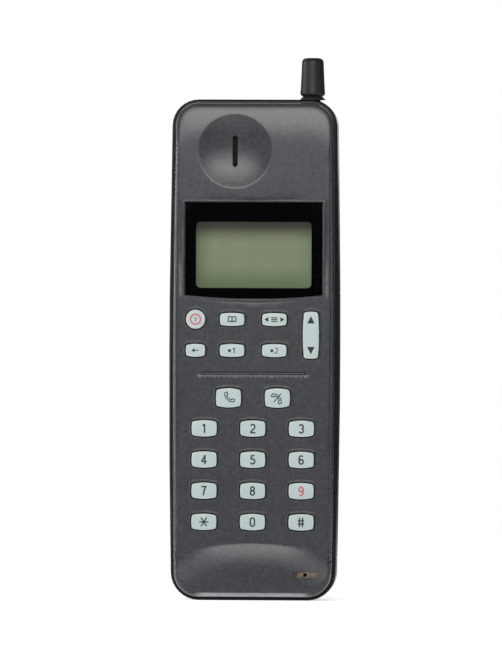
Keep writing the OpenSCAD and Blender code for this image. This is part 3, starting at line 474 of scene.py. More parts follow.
@dataclass(frozen=True)
class BoardLacquer:
    """Solder lacquer over copper tracks."""

    name: str = "board_lacquer"

    def build(self) -> bpy.types.Material:
        """Makes the material."""
        g = ShaderGraph(self.name)
        tracks = g.node("ShaderNodeTexBrick", {
            "Vector": g.place, "Scale": 1 / (6 * MM), "Mortar Size": 0.03, "Color1": (0, 0, 0, 1),
            "Color2": (0, 0, 0, 1), "Mortar": (1, 1, 1, 1)})
        shade = g.mix(g.ramp(g.noise(3.0, 2.0), 0.35, 0.7), (0.012, 0.085, 0.035), (0.02, 0.13, 0.055))
        colour = g.mix(g.ramp(tracks.outputs["Fac"], 0.2, 0.8, 0.0, 0.5), shade, (0.05, 0.22, 0.09))
        return g.finish(g.principled(Base_Color=colour, Roughness=0.3))


class Finish(Enum):
    """Every finish of the telephone."""

    COVER_GREY = WornCover("cover_grey", srgb(43, 44, 50), 0.34)
    SHELL_BLACK = MouldedPlastic("shell_black", srgb(20, 21, 24), 0.34, dust=0.12, specular=0.16)
    LATCH_BLACK = MouldedPlastic("latch_black", srgb(23, 23, 26), 0.38, dust=0.05, specular=0.35)
    INNER_BLACK = MouldedPlastic("inner_black", srgb(34, 34, 34), 0.5, dust=0.0)
    INNER_WHITE = MouldedPlastic("inner_white", srgb(205, 203, 194), 0.5, dust=0.0)
    FRAME_GREY = MouldedPlastic("frame_grey", srgb(112, 108, 103), 0.5, mottle=0.05, dust=0.0)
    CARD_WHITE = MouldedPlastic("card_white", srgb(226, 226, 220), 0.35, mottle=0.02, dust=0.0)
    GUIDE_CLEAR = MouldedPlastic("guide_clear", srgb(196, 205, 170), 0.3, mottle=0.03, dust=0.0)
    KEY_RESIN = KeyResin()
    LEGEND_DARK = Ink("legend_dark", srgb(20, 21, 22))
    LEGEND_RED = Ink("legend_red", srgb(194, 98, 100))
    CLEAR_PANE = ClearPane()
    WINDOW_PRINT = WindowPrint()
    AERIAL_RUBBER = Rubber("aerial_rubber", srgb(24, 24, 24), 0.46)
    BLACK_RUBBER = Rubber("black_rubber", srgb(26, 26, 26))
    MAT_SILICONE = Rubber("mat_silicone", srgb(200, 196, 178))
    STEEL = Metal("steel", (0.56, 0.56, 0.55))
    TINNED = Metal("tinned", (0.66, 0.67, 0.68), 0.4)
    GOLD = Metal("gold_plate", (0.86, 0.62, 0.24), 0.25)
    WEAVE = Thread()
    CELL_SLEEVE = MouldedPlastic("cell_sleeve", srgb(38, 66, 120), 0.28, mottle=0.05, dust=0.0)
    BOARD = BoardLacquer()

    @property
    def material(self) -> bpy.types.Material:
        """The finish's material, made once."""
        return bpy.data.materials.get("finish_" + self.value.name) or self.value.build()


# ---------------------------------------------------------------- meshes


def linked(name: str, data: bpy.types.ID) -> bpy.types.Object:
    """A new object at the origin, linked to the scene."""
    made = bpy.data.objects.new(name, data)
    bpy.context.scene.collection.objects.link(made)
    return made


def new_object(name: str, vertices: Sequence, faces: Sequence, finish: bpy.types.Material,
               smooth: float = 35.0) -> bpy.types.Object:
    """Makes an object at the origin from points in millimetres.

    Args:
        name: The object's name.
        vertices: Points in millimetres.
        faces: Tuples of point numbers, outward faces counter-clockwise.
        finish: The material.
        smooth: Edges sharper than this angle in degrees stay sharp.

    Returns:
        The object, linked to the scene.
    """
    mesh = bpy.data.meshes.new(name)
    mesh.from_pydata([tuple(float(c) * MM for c in v) for v in vertices], [], [tuple(f) for f in faces])
    mesh.materials.append(finish)
    made = linked(name, mesh)
    smooth_by_angle(mesh, smooth)
    return made


def smooth_by_angle(mesh: bpy.types.Mesh, angle: float) -> None:
    """Shades a mesh smooth, with sharp edges where faces meet at more than angle degrees."""
    work = bmesh.new()
    work.from_mesh(mesh)
    bmesh.ops.remove_doubles(work, verts=work.verts, dist=1e-6)
    for face in work.faces:
        face.smooth = True
    for edge in work.edges:
        edge.smooth = len(edge.link_faces) == 2 and edge.calc_face_angle(0.0) < math.radians(angle)
    work.to_mesh(mesh)
    work.free()


def set_attribute(made: bpy.types.Object, name: str, values: Callable[[Points], Points]) -> None:
    """Writes a point attribute from a function of the points in millimetres."""
    count = len(made.data.vertices)
    places = np.empty(count * 3)
    made.data.vertices.foreach_get("co", places)
    layer = made.data.attributes.new(name, "FLOAT", "POINT")
    layer.data.foreach_set("value", np.asarray(values(places.reshape(-1, 3) / MM), np.float32))


def put(made: bpy.types.Object, body: str, slot: str, *nodes: str) -> bpy.types.Object:
    """Rides a finished piece on its body and hides the nodes that it stands for."""
    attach(made, body)
    if nodes:
        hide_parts(*nodes)
    LOG.info("%s: %d faces on %s", made.name, len(made.data.polygons), body)
    return made


def cad_copy(node: str, name: str, finish: bpy.types.Material, bevel: float = 0.12,
             smooth: float = 32.0) -> bpy.types.Object:
    """A copy of a CAD node's mesh, merged, with its flat faces joined and its sharp edges eased.

    Args:
        node: The CAD node.
        name: The new object's name.
        finish: The material.
        bevel: Width of the eased edges in millimetres.
        smooth: Edges sharper than this angle in degrees are eased.

    Returns:
        The new object.
    """
    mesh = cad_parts[node].data.copy()
    mesh.name = name
    work = bmesh.new()
    work.from_mesh(mesh)
    bmesh.ops.remove_doubles(work, verts=work.verts, dist=2e-6)
    bmesh.ops.dissolve_limit(work, angle_limit=math.radians(0.6), verts=work.verts, edges=work.edges)
    work.to_mesh(mesh)
    work.free()
    mesh.materials.clear()
    mesh.materials.append(finish)
    made = linked(name, mesh)
    smooth_by_angle(mesh, smooth)
    if bevel:
        ease = made.modifiers.new("eased_edges", "BEVEL")
        ease.width = bevel * MM
        ease.segments = 2
        ease.limit_method = "ANGLE"
        ease.angle_limit = math.radians(smooth)
        ease.harden_normals = True
    return made


def triangulated(points: Points, loops: Sequence[Sequence[int]], outer: Points,
                 holes: Sequence[Points]) -> list[tuple[int, int, int]]:
    """Triangles over points that keep every loop's edges and stay inside outer and outside the holes.

    Args:
        points: Points in X and Z.
        loops: Closed runs of point numbers whose edges are kept.
        outer: The outer boundary's points.
        holes: Each hole's boundary points.

    Returns:
        Triangles as point numbers, counter-clockwise in X and Z.
    """
    edges = [(loop[i], loop[(i + 1) % len(loop)]) for loop in loops for i in range(len(loop))]
    found = delaunay_2d_cdt([Vector(p) for p in points], edges, [], 0, 1e-5)
    new_points = np.array([tuple(p) for p in found[0]])
    if len(new_points) != len(points):
        raise ValueError(f"{len(points)} points became {len(new_points)}")
    order = [ids[0] for ids in found[3]]
    faces = np.array([[order[i] for i in f] for f in found[2]])
    middles = points[faces].mean(axis=1)
    keep = within(outer, middles)
    for hole in holes:
        keep &= ~within(hole, middles)
    faces = faces[keep]
    a, b, c = (points[faces[:, i]] for i in range(3))
    turn = (b[:, 0] - a[:, 0]) * (c[:, 1] - a[:, 1]) - (b[:, 1] - a[:, 1]) * (c[:, 0] - a[:, 0])
    return [tuple(f if t > 0 else f[::-1]) for f, t in zip(faces.tolist(), turn)]


def within(polygon: Points, places: Points) -> np.ndarray:
    """True for each place inside a closed polygon."""
    low, high = polygon.min(0), polygon.max(0)
    result = np.zeros(len(places), bool)
    near = np.nonzero(((places >= low) & (places <= high)).all(1))[0]
    x, z = places[near, 0][:, None], places[near, 1][:, None]
    x0, z0 = polygon[:, 0], polygon[:, 1]
    x1, z1 = np.roll(x0, -1), np.roll(z0, -1)
    crosses = (z0 > z) != (z1 > z)
    with np.errstate(divide="ignore", invalid="ignore"):
        at = (x1 - x0) * (z - z0) / (z1 - z0) + x0
    result[near] = (np.where(crosses, x < at, False).sum(1) % 2) == 1
    return result


def distance_to(polygon: Points, places: Points) -> np.ndarray:
    """Distance from each place to a closed polygon's edge."""
    a, b = polygon, np.roll(polygon, -1, axis=0)
    run = b - a
    best = np.full(len(places), np.inf)
    for start, step in zip(a, run):
        along = np.clip(((places - start) @ step) / (step @ step), 0, 1)
        gap = places - start - along[:, None] * step
        best = np.minimum(best, np.hypot(gap[:, 0], gap[:, 1]))
    return best


def arc(x: float, z: float, r: float, start: float, end: float, steps: int) -> Points:
    """Points of an arc, with its angles in degrees."""
    a = np.radians(np.linspace(start, end, steps + 1))
    return np.column_stack([x + r * np.cos(a), z + r * np.sin(a)])


def eased(value: np.ndarray, low: float, high: float) -> np.ndarray:
    """Smooth step from 0 at low to 1 at high."""
    t = np.clip((value - low) / (high - low), 0, 1)
    return t * t * (3 - 2 * t)


def softer(first: np.ndarray, second: np.ndarray, blend: float) -> np.ndarray:
    """The larger of two heights, rounded where they cross."""
    near = np.maximum(blend - np.abs(first - second), 0) / blend
    return np.maximum(first, second) + near * near * blend / 4


@dataclass(frozen=True)
class BodyOutline:
    """The body's front outline: bowed sides, round corners, straight top and foot."""

    width: float
    height: float
    side_bow: float = 0.96
    corner_top: float = 8.9
    corner_foot: float = 9.5

    @property
    def middle(self) -> float:
        """Height of the middle."""
        return self.height / 2

    @property
    def side_r(self) -> float:
        """Radius of the bowed sides."""
        return (self.middle ** 2 + self.side_bow ** 2) / (2 * self.side_bow)

    @property
    def side_c(self) -> float:
        """How far a side's centre lies across the middle line."""
        return self.side_r - self.width / 2

    def corner_x(self, r: float, z: float) -> float:
        """Middle of a corner arc that touches the side and a level edge."""
        return math.sqrt((self.side_r - r) ** 2 - (z - self.middle) ** 2) - self.side_c

    def ring(self, inset: float, drop: float = 0.0, corner: int = 20, side: int = 90, level: int = 12) -> Points:
        """The outline drawn in by inset, and lowered at the top by drop.

        Args:
            inset: How far it is drawn in all round.
            drop: How far its top is lowered besides.
            corner: Steps along a corner.
            side: Steps along a side.
            level: Steps along half of the top or foot.

        Returns:
            Points, counter-clockwise seen from the front, from the middle of the foot.
        """
        foot_z = self.corner_foot
        foot_x = self.corner_x(self.corner_foot, foot_z)
        top_z = self.height - drop - self.corner_top
        top_x = self.corner_x(self.corner_top, top_z)
        foot_a = math.degrees(math.atan2(foot_z - self.middle, foot_x + self.side_c))
        top_a = math.degrees(math.atan2(top_z - self.middle, top_x + self.side_c))
        foot = np.column_stack([np.linspace(0, foot_x, level + 1), np.full(level + 1, inset)])
        top_edge = self.height - drop - inset
        top = np.column_stack([np.linspace(top_x, 0, level + 1), np.full(level + 1, top_edge)])
        right = np.vstack([
            foot[:-1],
            arc(foot_x, foot_z, self.corner_foot - inset, -90, foot_a, corner)[:-1],
            arc(-self.side_c, self.middle, self.side_r - inset, foot_a, top_a, side)[:-1],
            arc(top_x, top_z, self.corner_top - inset, top_a, 90, corner)[:-1],
            top,
        ])
        left = right[1:-1][::-1] * np.array([-1.0, 1.0])
        return np.vstack([right, left])

    def depth_in(self, places: Points, inset: np.ndarray, drop: np.ndarray) -> np.ndarray:
        """How far each place lies inside the outline drawn in by inset and lowered by drop."""
        x, z = np.abs(places[:, 0]), places[:, 1]
        side = self.side_r - inset - np.hypot(x + self.side_c, z - self.middle)
        top_z = self.height - drop - self.corner_top
        top_x = np.sqrt((self.side_r - self.corner_top) ** 2 - (top_z - self.middle) ** 2) - self.side_c
        foot_z = self.corner_foot
        foot_x = self.corner_x(self.corner_foot, foot_z)
        inner = np.minimum(side, np.minimum(self.height - drop - inset - z, z - inset))
        in_top = (z > top_z) & (x > top_x)
        at_top = self.corner_top - inset - np.hypot(x - top_x, z - top_z)
        in_foot = (z < foot_z) & (x > foot_x)
        at_foot = self.corner_foot - inset - np.hypot(x - foot_x, z - foot_z)
        return np.where(in_top, at_top, np.where(in_foot, at_foot, inner))


def cushion(w: float, h: float, bow_x: float, bow_z: float, r: float, grow: float = 0.0,
            corner: int = 6, edge: int = 10) -> Points:
    """A rectangle with round corners whose edges bow out, grown all round.

    Args:
        w: Width at its widest.
        h: Height at its tallest.
        bow_x: How far the sides bow out.
        bow_z: How far the top and foot bow out.
        r: Corner radius.
        grow: How far it is grown, or drawn in where it is negative.
        corner: Steps along a corner.
        edge: Steps along an edge.

    Returns:
        Points about the origin, counter-clockwise seen from the front.
    """
    a, b = w / 2 - bow_x + grow, h / 2 - bow_z + grow
    c = max(r + grow, 0.15)
    t = np.linspace(-1, 1, edge + 1)[1:-1]
    bow = 1 - t * t
    right = np.column_stack([a + bow_x * bow, (b - c) * t])
    top = np.column_stack([-(a - c) * t, b + bow_z * bow])
    return np.vstack([
        arc(a - c, -b + c, c, -90, 0, corner), right, arc(a - c, b - c, c, 0, 90, corner), top,
        arc(-a + c, b - c, c, 90, 180, corner), -right, arc(-a + c, -b + c, c, 180, 270, corner), -top,
    ])


def stadium(x: float, z: float, length: float, width: float, upright: bool = False, steps: int = 14) -> Points:
    """Outline of a slot with round ends about a middle, with a point every 0.3 mm along its runs."""
    r, run = width / 2, (length - width) / 2
    along = np.linspace(run, -run, max(int(run / 0.15), 2))[1:-1]
    top = np.column_stack([along, np.full(len(along), r)])
    lying = np.vstack([arc(run, 0, r, -90, 90, steps), top, arc(-run, 0, r, 90, 270, steps), -top])
    turned = np.column_stack([-lying[:, 1], lying[:, 0]]) if upright else lying
    return turned + np.array([x, z])


def revolve(profile: Points, steps: int = 72) -> tuple[list, list]:
    """Vertices and faces of a profile turned about the Z axis.

    Args:
        profile: Radius and height of each point, from the foot's middle out and up to the top's middle, or
            round a ring's section in the same sense.
        steps: Steps round the axis.

    Returns:
        The vertices, and the faces with their outsides out.
    """
    angles = np.radians(np.arange(steps) * 360 / steps)
    if profile[0][0] > 1e-6:
        profile = np.vstack([profile, profile[:1]])
    vertices, rows = [], []
    for r, z in profile:
        if r < 1e-6:
            rows.append([len(vertices)] * steps)
            vertices.append((0, 0, z))
        else:
            rows.append(list(range(len(vertices), len(vertices) + steps)))
            vertices.extend((r * math.cos(a), r * math.sin(a), z) for a in angles)
    faces = []
    for low, high in zip(rows, rows[1:]):
        for i in range(steps):
            j = (i + 1) % steps
            corners = [low[i], low[j], high[j], high[i]]
            faces.append([c for k, c in enumerate(corners) if c != corners[k - 1]])
    return vertices, faces


def tube(start: int, rows: int, count: int) -> list[tuple[int, ...]]:
    """Faces of a closed tube of rows of points.

    Args:
        start: Number of its first point.
        rows: How many rows there are.
        count: Points in each row, counter-clockwise seen from the last row's side.

    Returns:
        The quads between the rows, then the first row's end and the last row's.
    """
    faces = []
    for low in range(start, start + (rows - 1) * count, count):
        for i in range(count):
            j = (i + 1) % count
            faces.append((low + i, low + j, low + count + j, low + count + i))
    faces.append(tuple(range(start, start + count))[::-1])
    faces.append(tuple(range(start + (rows - 1) * count, start + rows * count)))
    return faces


def numbered(boundaries: Sequence[Points]) -> tuple[list[tuple], list[list[int]]]:
    """The points of several closed runs in one list, and each run as point numbers."""
    points, loops = [], []
    for loop in boundaries:
        loops.append(list(range(len(points), len(points) + len(loop))))
        points.extend(map(tuple, loop))
    return points, loops


def close_to(ring: Points, places: Points, margin: float) -> np.ndarray:
    """Numbers of the places inside a ring's box grown by a margin."""
    return np.nonzero(((places > ring.min(0) - margin) & (places < ring.max(0) + margin)).all(1))[0]


def fillet(gap: np.ndarray, r: float) -> np.ndarray:
    """Drop of a small round edge of radius r at a distance from its wall."""
    short = np.clip(r - gap, 0, r)
    return r - np.sqrt(r * r - short * short)


def turned_flat(points: Points, degrees: float) -> Points:
    """Points turned about the origin."""
    a = math.radians(degrees)
    return np.column_stack([points[:, 0] * math.cos(a) - points[:, 1] * math.sin(a),
                            points[:, 0] * math.sin(a) + points[:, 1] * math.cos(a)])


# ---------------------------------------------------------------- sub-assemblies


@dataclass(frozen=True)
class Opening:
    """A hole in the front cover: its middle and its outline at any growth."""

    x: float
    z: float
    outline: Callable[[float], Points]

    def ring(self, grow: float) -> Points:
        """The outline grown, in place."""
        return self.outline(grow) + np.array([self.x, self.z])


@dataclass
class KeyShape:
    """Outline and form of one key cap."""

    node: str
    round: bool = False
    flange: float = 0.9
    trunnion: float = 1.8
    bow_x: float = 0.12
    bow_z: float = 0.33
    corner: float = 0.8
    box: Box = field(init=False)

    def __post_init__(self) -> None:
        """Reads the key's place and size from the frame."""
        self.box = Box.of(self.node)

    @property
    def width(self) -> float:
        """Width of the cap."""
        return self.box.size.x - 2 * (self.trunnion if self.node == "key_scroll" else self.flange)

    @property
    def height(self) -> float:
        """Height of the cap."""
        return self.box.size.z - 2 * (0 if self.node == "key_scroll" else self.flange)

    @property
    def face_y(self) -> float:
        """Depth of the cap's front."""
        return self.box.low.y

    def outline(self, grow: float) -> Points:
        """The cap's outline, grown."""
        if self.round:
            return arc(0, 0, self.width / 2 + grow, 0, 360, 48)[:-1]
        return cushion(self.width, self.height, self.bow_x, self.bow_z, self.corner, grow)

    def opening(self) -> Opening:
        """The key's opening in the front cover, before its gap."""
        return Opening(self.box.middle.x, self.box.middle.z, self.outline)


def key_shape(node: str) -> KeyShape:
    """The shape of a key, by the row that it stands in."""
    if node == "key_power":
        return KeyShape(node, round=True)
    if node == "key_scroll":
        return KeyShape(node, bow_x=0.3, bow_z=0.1, corner=0.9)
    if node in ("key_call", "key_end"):
        return KeyShape(node, bow_z=0.4, corner=0.9)
    if node in ("key_memory", "key_menu", "key_clear", "key_p1", "key_p2"):
        return KeyShape(node, bow_z=0.3, corner=0.7)
    return KeyShape(node, bow_z=0.35)


@dataclass
class FrontShell:
    """The front cover: rolled top, round edges, chin swell, dish, rimmed openings and groove."""

    outline: BodyOutline
    keys: list[KeyShape]
    inset: float = 1.3
    wall: float = 1.8
    edge_r: float = 1.8
    roll_len: float = 13.0
    roll_drop: float = 1.2
    chin_h: float = 1.3
    chin_r: float = 87.0
    chin_z: float = 19.2
    chin_len: float = 10.0
    dish_r: float = 12.36
    dish_x: float = -6.4
    dish_depth: float = 2.0
    key_gap: float = 0.35
    rim_h: float = 0.2
    groove_z: float = 76.3
    groove_l: float = 36.0
    groove_w: float = 1.15
    groove_depth: float = 0.5
    crease_blend: float = 0.12
    split_depth: float = 5.2
    pane_bow: float = 1.2
    pane_gap: float = 0.1
    slot_l: float = 10.5
    slot_w: float = 1.7
    voice_l: float = 8.1
    voice_w: float = 2.1
    voice_hole_r: float = 0.65
    voice_sunk: float = 0.7
    display_margin: float = 0.8
    grid: float = 1.5

    KEY_RINGS: ClassVar[tuple] = (0.05, 0.12, 0.2, 0.34, 0.48, 0.62, 0.85)
    PANE_RINGS: ClassVar[tuple] = (0.05, 0.1, 0.3, 0.55, 0.72, 0.82, 0.92, 1.02, 1.12, 1.3)
    DISH_RINGS: ClassVar[tuple] = (0.12, 0.25, 0.38, 0.5, 0.62, 0.73, 0.83, 0.91, 0.96, 0.985, 0.995, 1.0, 1.007,
                                   1.02, 1.05)
    CHIN_RINGS: ClassVar[tuple] = (0.5, 0.25, 0.1, 0, -0.1, -0.25, -0.6, -1.2, -2, -3, -4.2, -5.6, -7, -8.5, -10,
                                   -11.5)

    def __post_init__(self) -> None:
        """Places the features from the frame's boxes."""
        cover = Box.of("front_cover")
        self.face_y = cover.low.y + self.chin_h
        self.inner_y = self.face_y + self.wall
        self.split_y = self.face_y + self.split_depth
        self.dish_z = Box.of("earpiece_screen").middle.z
        self.dish_back_y = Box.of("earpiece_screen").low.y
        self.window = Box.of("display_window")
        self.shelf_y = Box.of("window_mask").high.y
        self.display = Box.of("lcd_light_guide")
        self.voice = Box.of("microphone").middle
        self.roll_r = roll_r = (self.roll_len ** 2 + self.roll_drop ** 2) / (2 * self.roll_drop)
        self.edge_c = roll_r - math.sqrt((roll_r - self.edge_r) ** 2 - (self.roll_len - self.edge_r) ** 2)
        self.roll_end = roll_r * (1 - (roll_r - self.edge_c) / (roll_r - self.edge_r))

    # ---- forms

    def edge_in(self, r: float, depth: np.ndarray) -> np.ndarray:
        """How far a round edge draws in at a depth under its face."""
        short = np.clip(r - depth, 0, r)
        return np.where(depth >= r, 0, r - np.sqrt(r * r - short * short))

    def top_in(self, depth: np.ndarray) -> np.ndarray:
        """The same at the top, where the face rolls back before the edge."""
        rolled = self.roll_len - np.sqrt(np.maximum(self.roll_r ** 2 - (self.roll_r - depth) ** 2, 0))
        short = np.clip(self.edge_c - depth, 0, self.edge_r)
        edge = self.edge_r - np.sqrt(self.edge_r ** 2 - short * short)
        return np.where(depth < self.roll_end, rolled, np.where(depth < self.edge_c, edge, 0))

    def face_depth(self, places: Points) -> np.ndarray:
        """Depth of the plain face with its round edge under its highest plane."""
        low, high = np.zeros(len(places)), np.full(len(places), self.edge_c)
        for _ in range(26):
            middle = (low + high) / 2
            edge = self.edge_in(self.edge_r, middle)
            inside = self.outline.depth_in(places, self.inset + edge, self.top_in(middle) - edge) >= 0
            high = np.where(inside, middle, high)
            low = np.where(inside, low, middle)
        return high

    def chin_height(self, places: Points) -> np.ndarray:
        """Height of the chin's swell over the face plane, negative above its crease."""
        slope = 2 * math.atan(self.chin_h / self.chin_len)
        rim_r = self.chin_len / math.sin(slope)
        reach = np.hypot(places[:, 0], places[:, 1] - (self.chin_z - self.chin_r))
        along = np.clip(reach - (self.chin_r - self.chin_len), 0, self.chin_len)
        swell = self.chin_h - (rim_r - np.sqrt(rim_r ** 2 - along ** 2))
        down = np.clip((self.chin_r - reach) / (self.chin_len + 4.0), 0, 1)
        gentle = self.chin_h * down * down * (3 - 2 * down)
        middle = 1 - eased(np.abs(places[:, 0]), 8.0, 27.0)
        mixed = np.where(reach < self.chin_r, middle * swell + (1 - middle) * gentle, swell)
        return mixed - np.maximum(reach - self.chin_r, 0) * math.tan(slope)

    def chin_edge(self, places: Points) -> np.ndarray:
        """Depth of the chin's fuller edge under the chin's own plane."""
        r = self.edge_r + self.chin_h
        zero = np.zeros(len(places))
        gap = np.clip(self.outline.depth_in(places, self.inset + zero, zero), 0, r)
        return r - np.sqrt(r * r - (r - gap) ** 2)

    def pane(self, grow: float, edge: int = 40) -> Points:
        """The window's outline with its bowed lower edge, grown."""
        w, middle = self.window.size.x / 2 + grow, self.window.middle.x
        top = self.window.high.z + grow
        low = self.window.low.z + self.pane_bow - grow
        t = np.linspace(-1, 1, edge + 1)
        foot = np.column_stack([middle + w * t, low - self.pane_bow * (1 - t * t)])
        side = np.linspace(low, top, 26)[1:]
        return np.vstack([
            foot, np.column_stack([np.full(25, middle + w), side]),
            np.column_stack([middle + np.linspace(w, -w, edge + 1)[1:], np.full(edge, top)]),
            np.column_stack([np.full(24, middle - w), side[:-1][::-1]]),
        ])

    def surface(self, places: Points) -> np.ndarray:
        """Depth of the finished front at each place."""
        face = self.face_y + self.face_depth(places)
        chin = self.face_y - self.chin_height(places)
        chin = np.maximum(chin, self.face_y - self.chin_h + self.chin_edge(places))
        face = -softer(-face, -chin, self.crease_blend)
        reach = np.hypot(places[:, 0] - self.dish_x, places[:, 1] - self.dish_z)
        bowl = face + self.dish_depth * (1 - (reach / self.dish_r) ** 2)
        face = softer(face, bowl, 0.14)
        face = face - self.rims(places)
        face = face + self.groove(places)
        return softer(face, self.voice_floor(places), 0.05)

    def rims(self, places: Points) -> np.ndarray:
        """Height of the raised rims round the window and the keys."""
        total = np.zeros(len(places))
        for key in self.keys:
            hole = key.opening().ring(self.key_gap)
            near = close_to(hole, places, 1.2)
            gap = distance_to(hole, places[near])
            total[near] += self.rim_h * (1 - eased(gap, 0.2, 0.62)) - fillet(gap, 0.12)
        pane = self.pane(self.pane_gap)
        near = close_to(pane, places, 2)
        gap = distance_to(pane, places[near])
        crest = self.rim_h * (1 - eased(gap, 0.72, 0.92)) - fillet(gap, 0.1)
        total[near] += crest - 0.09 * np.exp(-((gap - 1.02) / 0.1) ** 2)
        return total

    def groove(self, places: Points) -> np.ndarray:
        """Depth of the level groove under the upper keys."""
        half = (self.groove_l - self.groove_w) / 2
        x = np.maximum(np.abs(places[:, 0]) - half, 0)
        reach = np.hypot(x, places[:, 1] - self.groove_z)
        return self.groove_depth * (1 - eased(reach, 0.18, self.groove_w / 2 + 0.04))

    def voice_floor(self, places: Points) -> np.ndarray:
        """Depth of the voice slot's floor, or far in front away from it."""
        reach = self.voice_reach(places)
        floor = self.face_y - self.chin_h + self.voice_sunk
        return floor - 3.0 * eased(reach, 1.0, 1.16) - 20.0 * (reach > 1.3)

    def voice_reach(self, places: Points) -> np.ndarray:
        """Distance of each place from the voice slot's middle line."""
        half = (self.voice_l - self.voice_w) / 2
        x = np.maximum(np.abs(places[:, 0] - self.voice.x) - half, 0)
        return np.hypot(x, places[:, 1] - self.voice.z)

    def past_voice_end(self, places: Points) -> np.ndarray:
        """0 at the voice slot's clean left end and 1 right of it."""
        return eased(places[:, 0] - self.voice.x, -2.8, -2.4)

    # ---- mesh

    def hole_loops(self) -> list[Points]:
        """Boundary of each opening in the front: the keys', the window's, the slot's and the voice hole's."""
        loops = [key.opening().ring(self.key_gap) for key in self.keys]
        return loops + [self.pane(self.pane_gap), self.slot(0.0),
                        arc(self.voice.x, self.voice.z, self.voice_hole_r, 0, 360, 24)[:-1]]

    def slot(self, grow: float) -> Points:
        """The earpiece slot's outline."""
        return stadium(self.dish_x, self.dish_z, self.slot_l + 2 * grow, self.slot_w + 2 * grow, True)

    def guide_rings(self) -> list[Points]:
        """Rings of points that follow each feature, so that the mesh does too."""
        rings = []
        for depth in self.edge_c * (1 - np.cos(np.radians(np.linspace(0, 84, 13)))):
            edge = float(self.edge_in(self.edge_r, np.array(depth)))
            rings.append(self.outline.ring(self.inset + edge, float(self.top_in(np.array(depth))) - edge))
        for inset in (2.5, 3.2, 3.8):
            ring = self.outline.ring(self.inset + inset)
            rings.append(ring[ring[:, 1] < self.chin_z])
        for key in self.keys:
            rings += [key.opening().ring(self.key_gap + g) for g in self.KEY_RINGS]
        rings += [self.pane(self.pane_gap + g) for g in self.PANE_RINGS]
        rings += [arc(self.dish_x, self.dish_z, r * self.dish_r, 0, 360, 96)[:-1] for r in self.DISH_RINGS]
        rings += [self.slot(g) for g in (0.06, 0.14, 0.3)]
        rings += [arc(0, self.chin_z - self.chin_r, self.chin_r + g, 72, 108, 72) for g in self.CHIN_RINGS]
        rings += [stadium(0, self.groove_z, self.groove_l + 2 * g, self.groove_w + 2 * g, False, 12)
                  for g in (0.06, -0.08, -0.25, -0.42)]
        rings += [self.along_groove(g) for g in (0.69, 0.57, 0.4, 0.23, 0.05)]
        rings += [stadium(self.voice.x, self.voice.z, self.voice_l + 2 * g, self.voice_w + 2 * g)
                  for g in (0.15, 0.09, 0.03, -0.05, -0.12)]
        rings += [arc(self.voice.x, self.voice.z, r, 0, 360, 24)[:-1] for r in (0.7, 0.8)]
        return rings

    def along_groove(self, gap: float) -> Points:
        """Two rows of points along the groove."""
        reach = self.groove_l / 2 - 1.2
        x = np.linspace(-reach, reach, 43)
        return np.vstack([np.column_stack([x, np.full(len(x), self.groove_z + side * gap)]) for side in (-1, 1)])

    def front_points(self, outer: Points, holes: list[Points]) -> tuple[Points, list[list[int]]]:
        """All points of the front in X and Z, and the loops of its boundaries.

        Args:
            outer: The outer boundary.
            holes: Each opening's boundary.

        Returns:
            The points, and each boundary as a run of point numbers.
        """
        points, loops = numbered([outer, *holes])
        tree = KDTree(60000)
        kept = len(points)
        for i, p in enumerate(points):
            tree.insert((*p, 0), i)
        columns = np.arange(-30, 30, self.grid)
        grid = [(x + (row % 2) * self.grid / 2, row * self.grid * 0.87) for row in range(132) for x in columns]
        for ring, gap in [(ring, 0.035) for ring in self.guide_rings()] + [(grid, self.grid / 2)]:
            fresh = np.array(ring)
            inside = within(outer, fresh)
            for hole in holes:
                inside &= ~within(hole, fresh)
            tree.balance()
            chosen = [tuple(p) for p, good in zip(fresh, inside) if good and tree.find((*p, 0))[2] > gap]
            for p in chosen:
                tree.insert((*p, 0), kept)
                points.append(p)
                kept += 1
        return np.array(points), loops

    def build(self) -> bpy.types.Object:
        """Makes the front cover as one closed mesh."""
        outer = self.outline.ring(self.inset)
        holes = self.hole_loops()
        points, loops = self.front_points(outer, holes)
        tris = triangulated(points, loops, outer, holes)
        vertices, faces = self.level(points, self.surface(points)), [tuple(t) for t in tris]
        inner_outline = self.outline.ring(self.inset + self.wall)
        walls = [[vertices[i] for i in loops[0]], self.level(outer, self.split_y),
                 self.level(inner_outline, self.split_y), self.level(inner_outline, self.inner(inner_outline))]
        for first, second in zip(walls, walls[1:]):
            self.add_strip(vertices, faces, first, second, False)
        window = self.display_hole()
        inner_holes = []
        for number, (loop, hole) in enumerate(zip(loops[1:], holes)):
            top = [vertices[i] for i in loop]
            if number == len(self.keys):
                self.add_strip(vertices, faces, top, self.level(hole, self.shelf_y), True)
                self.add_plate(vertices, faces, hole, [window], lambda p: np.full(len(p), self.shelf_y), False)
                self.add_strip(vertices, faces, self.level(window, self.shelf_y),
                               self.level(window, self.inner_y), True)
                inner_holes.append(window)
            else:
                self.add_strip(vertices, faces, top, self.level(hole, self.inner(hole)), True)
                inner_holes.append(hole)
        self.add_plate(vertices, faces, inner_outline, inner_holes, self.inner, True)
        made = new_object("front_shell", vertices, faces, Finish.COVER_GREY.material, 50.0)
        for sign in (self.grime, self.soot_and_shade, self.polish, self.painted_foot_highlight):
            set_attribute(made, sign.__name__, sign)
        return put(made, "case", "cover_grey", "front_cover")

    @staticmethod
    def level(flat: Points, depth: float | np.ndarray) -> list[tuple[float, float, float]]:
        """Points in X and Z set at one depth, or each at its own."""
        return [(x, y, z) for (x, z), y in zip(flat, np.broadcast_to(depth, len(flat)))]

    def display_hole(self) -> Points:
        """The opening behind the window, through which the display shows."""
        size, middle, more = self.display.size, self.display.middle, 2 * self.display_margin
        return cushion(size.x + more, size.z + more, 0, 0, 1.0) + np.array([middle.x, middle.z])

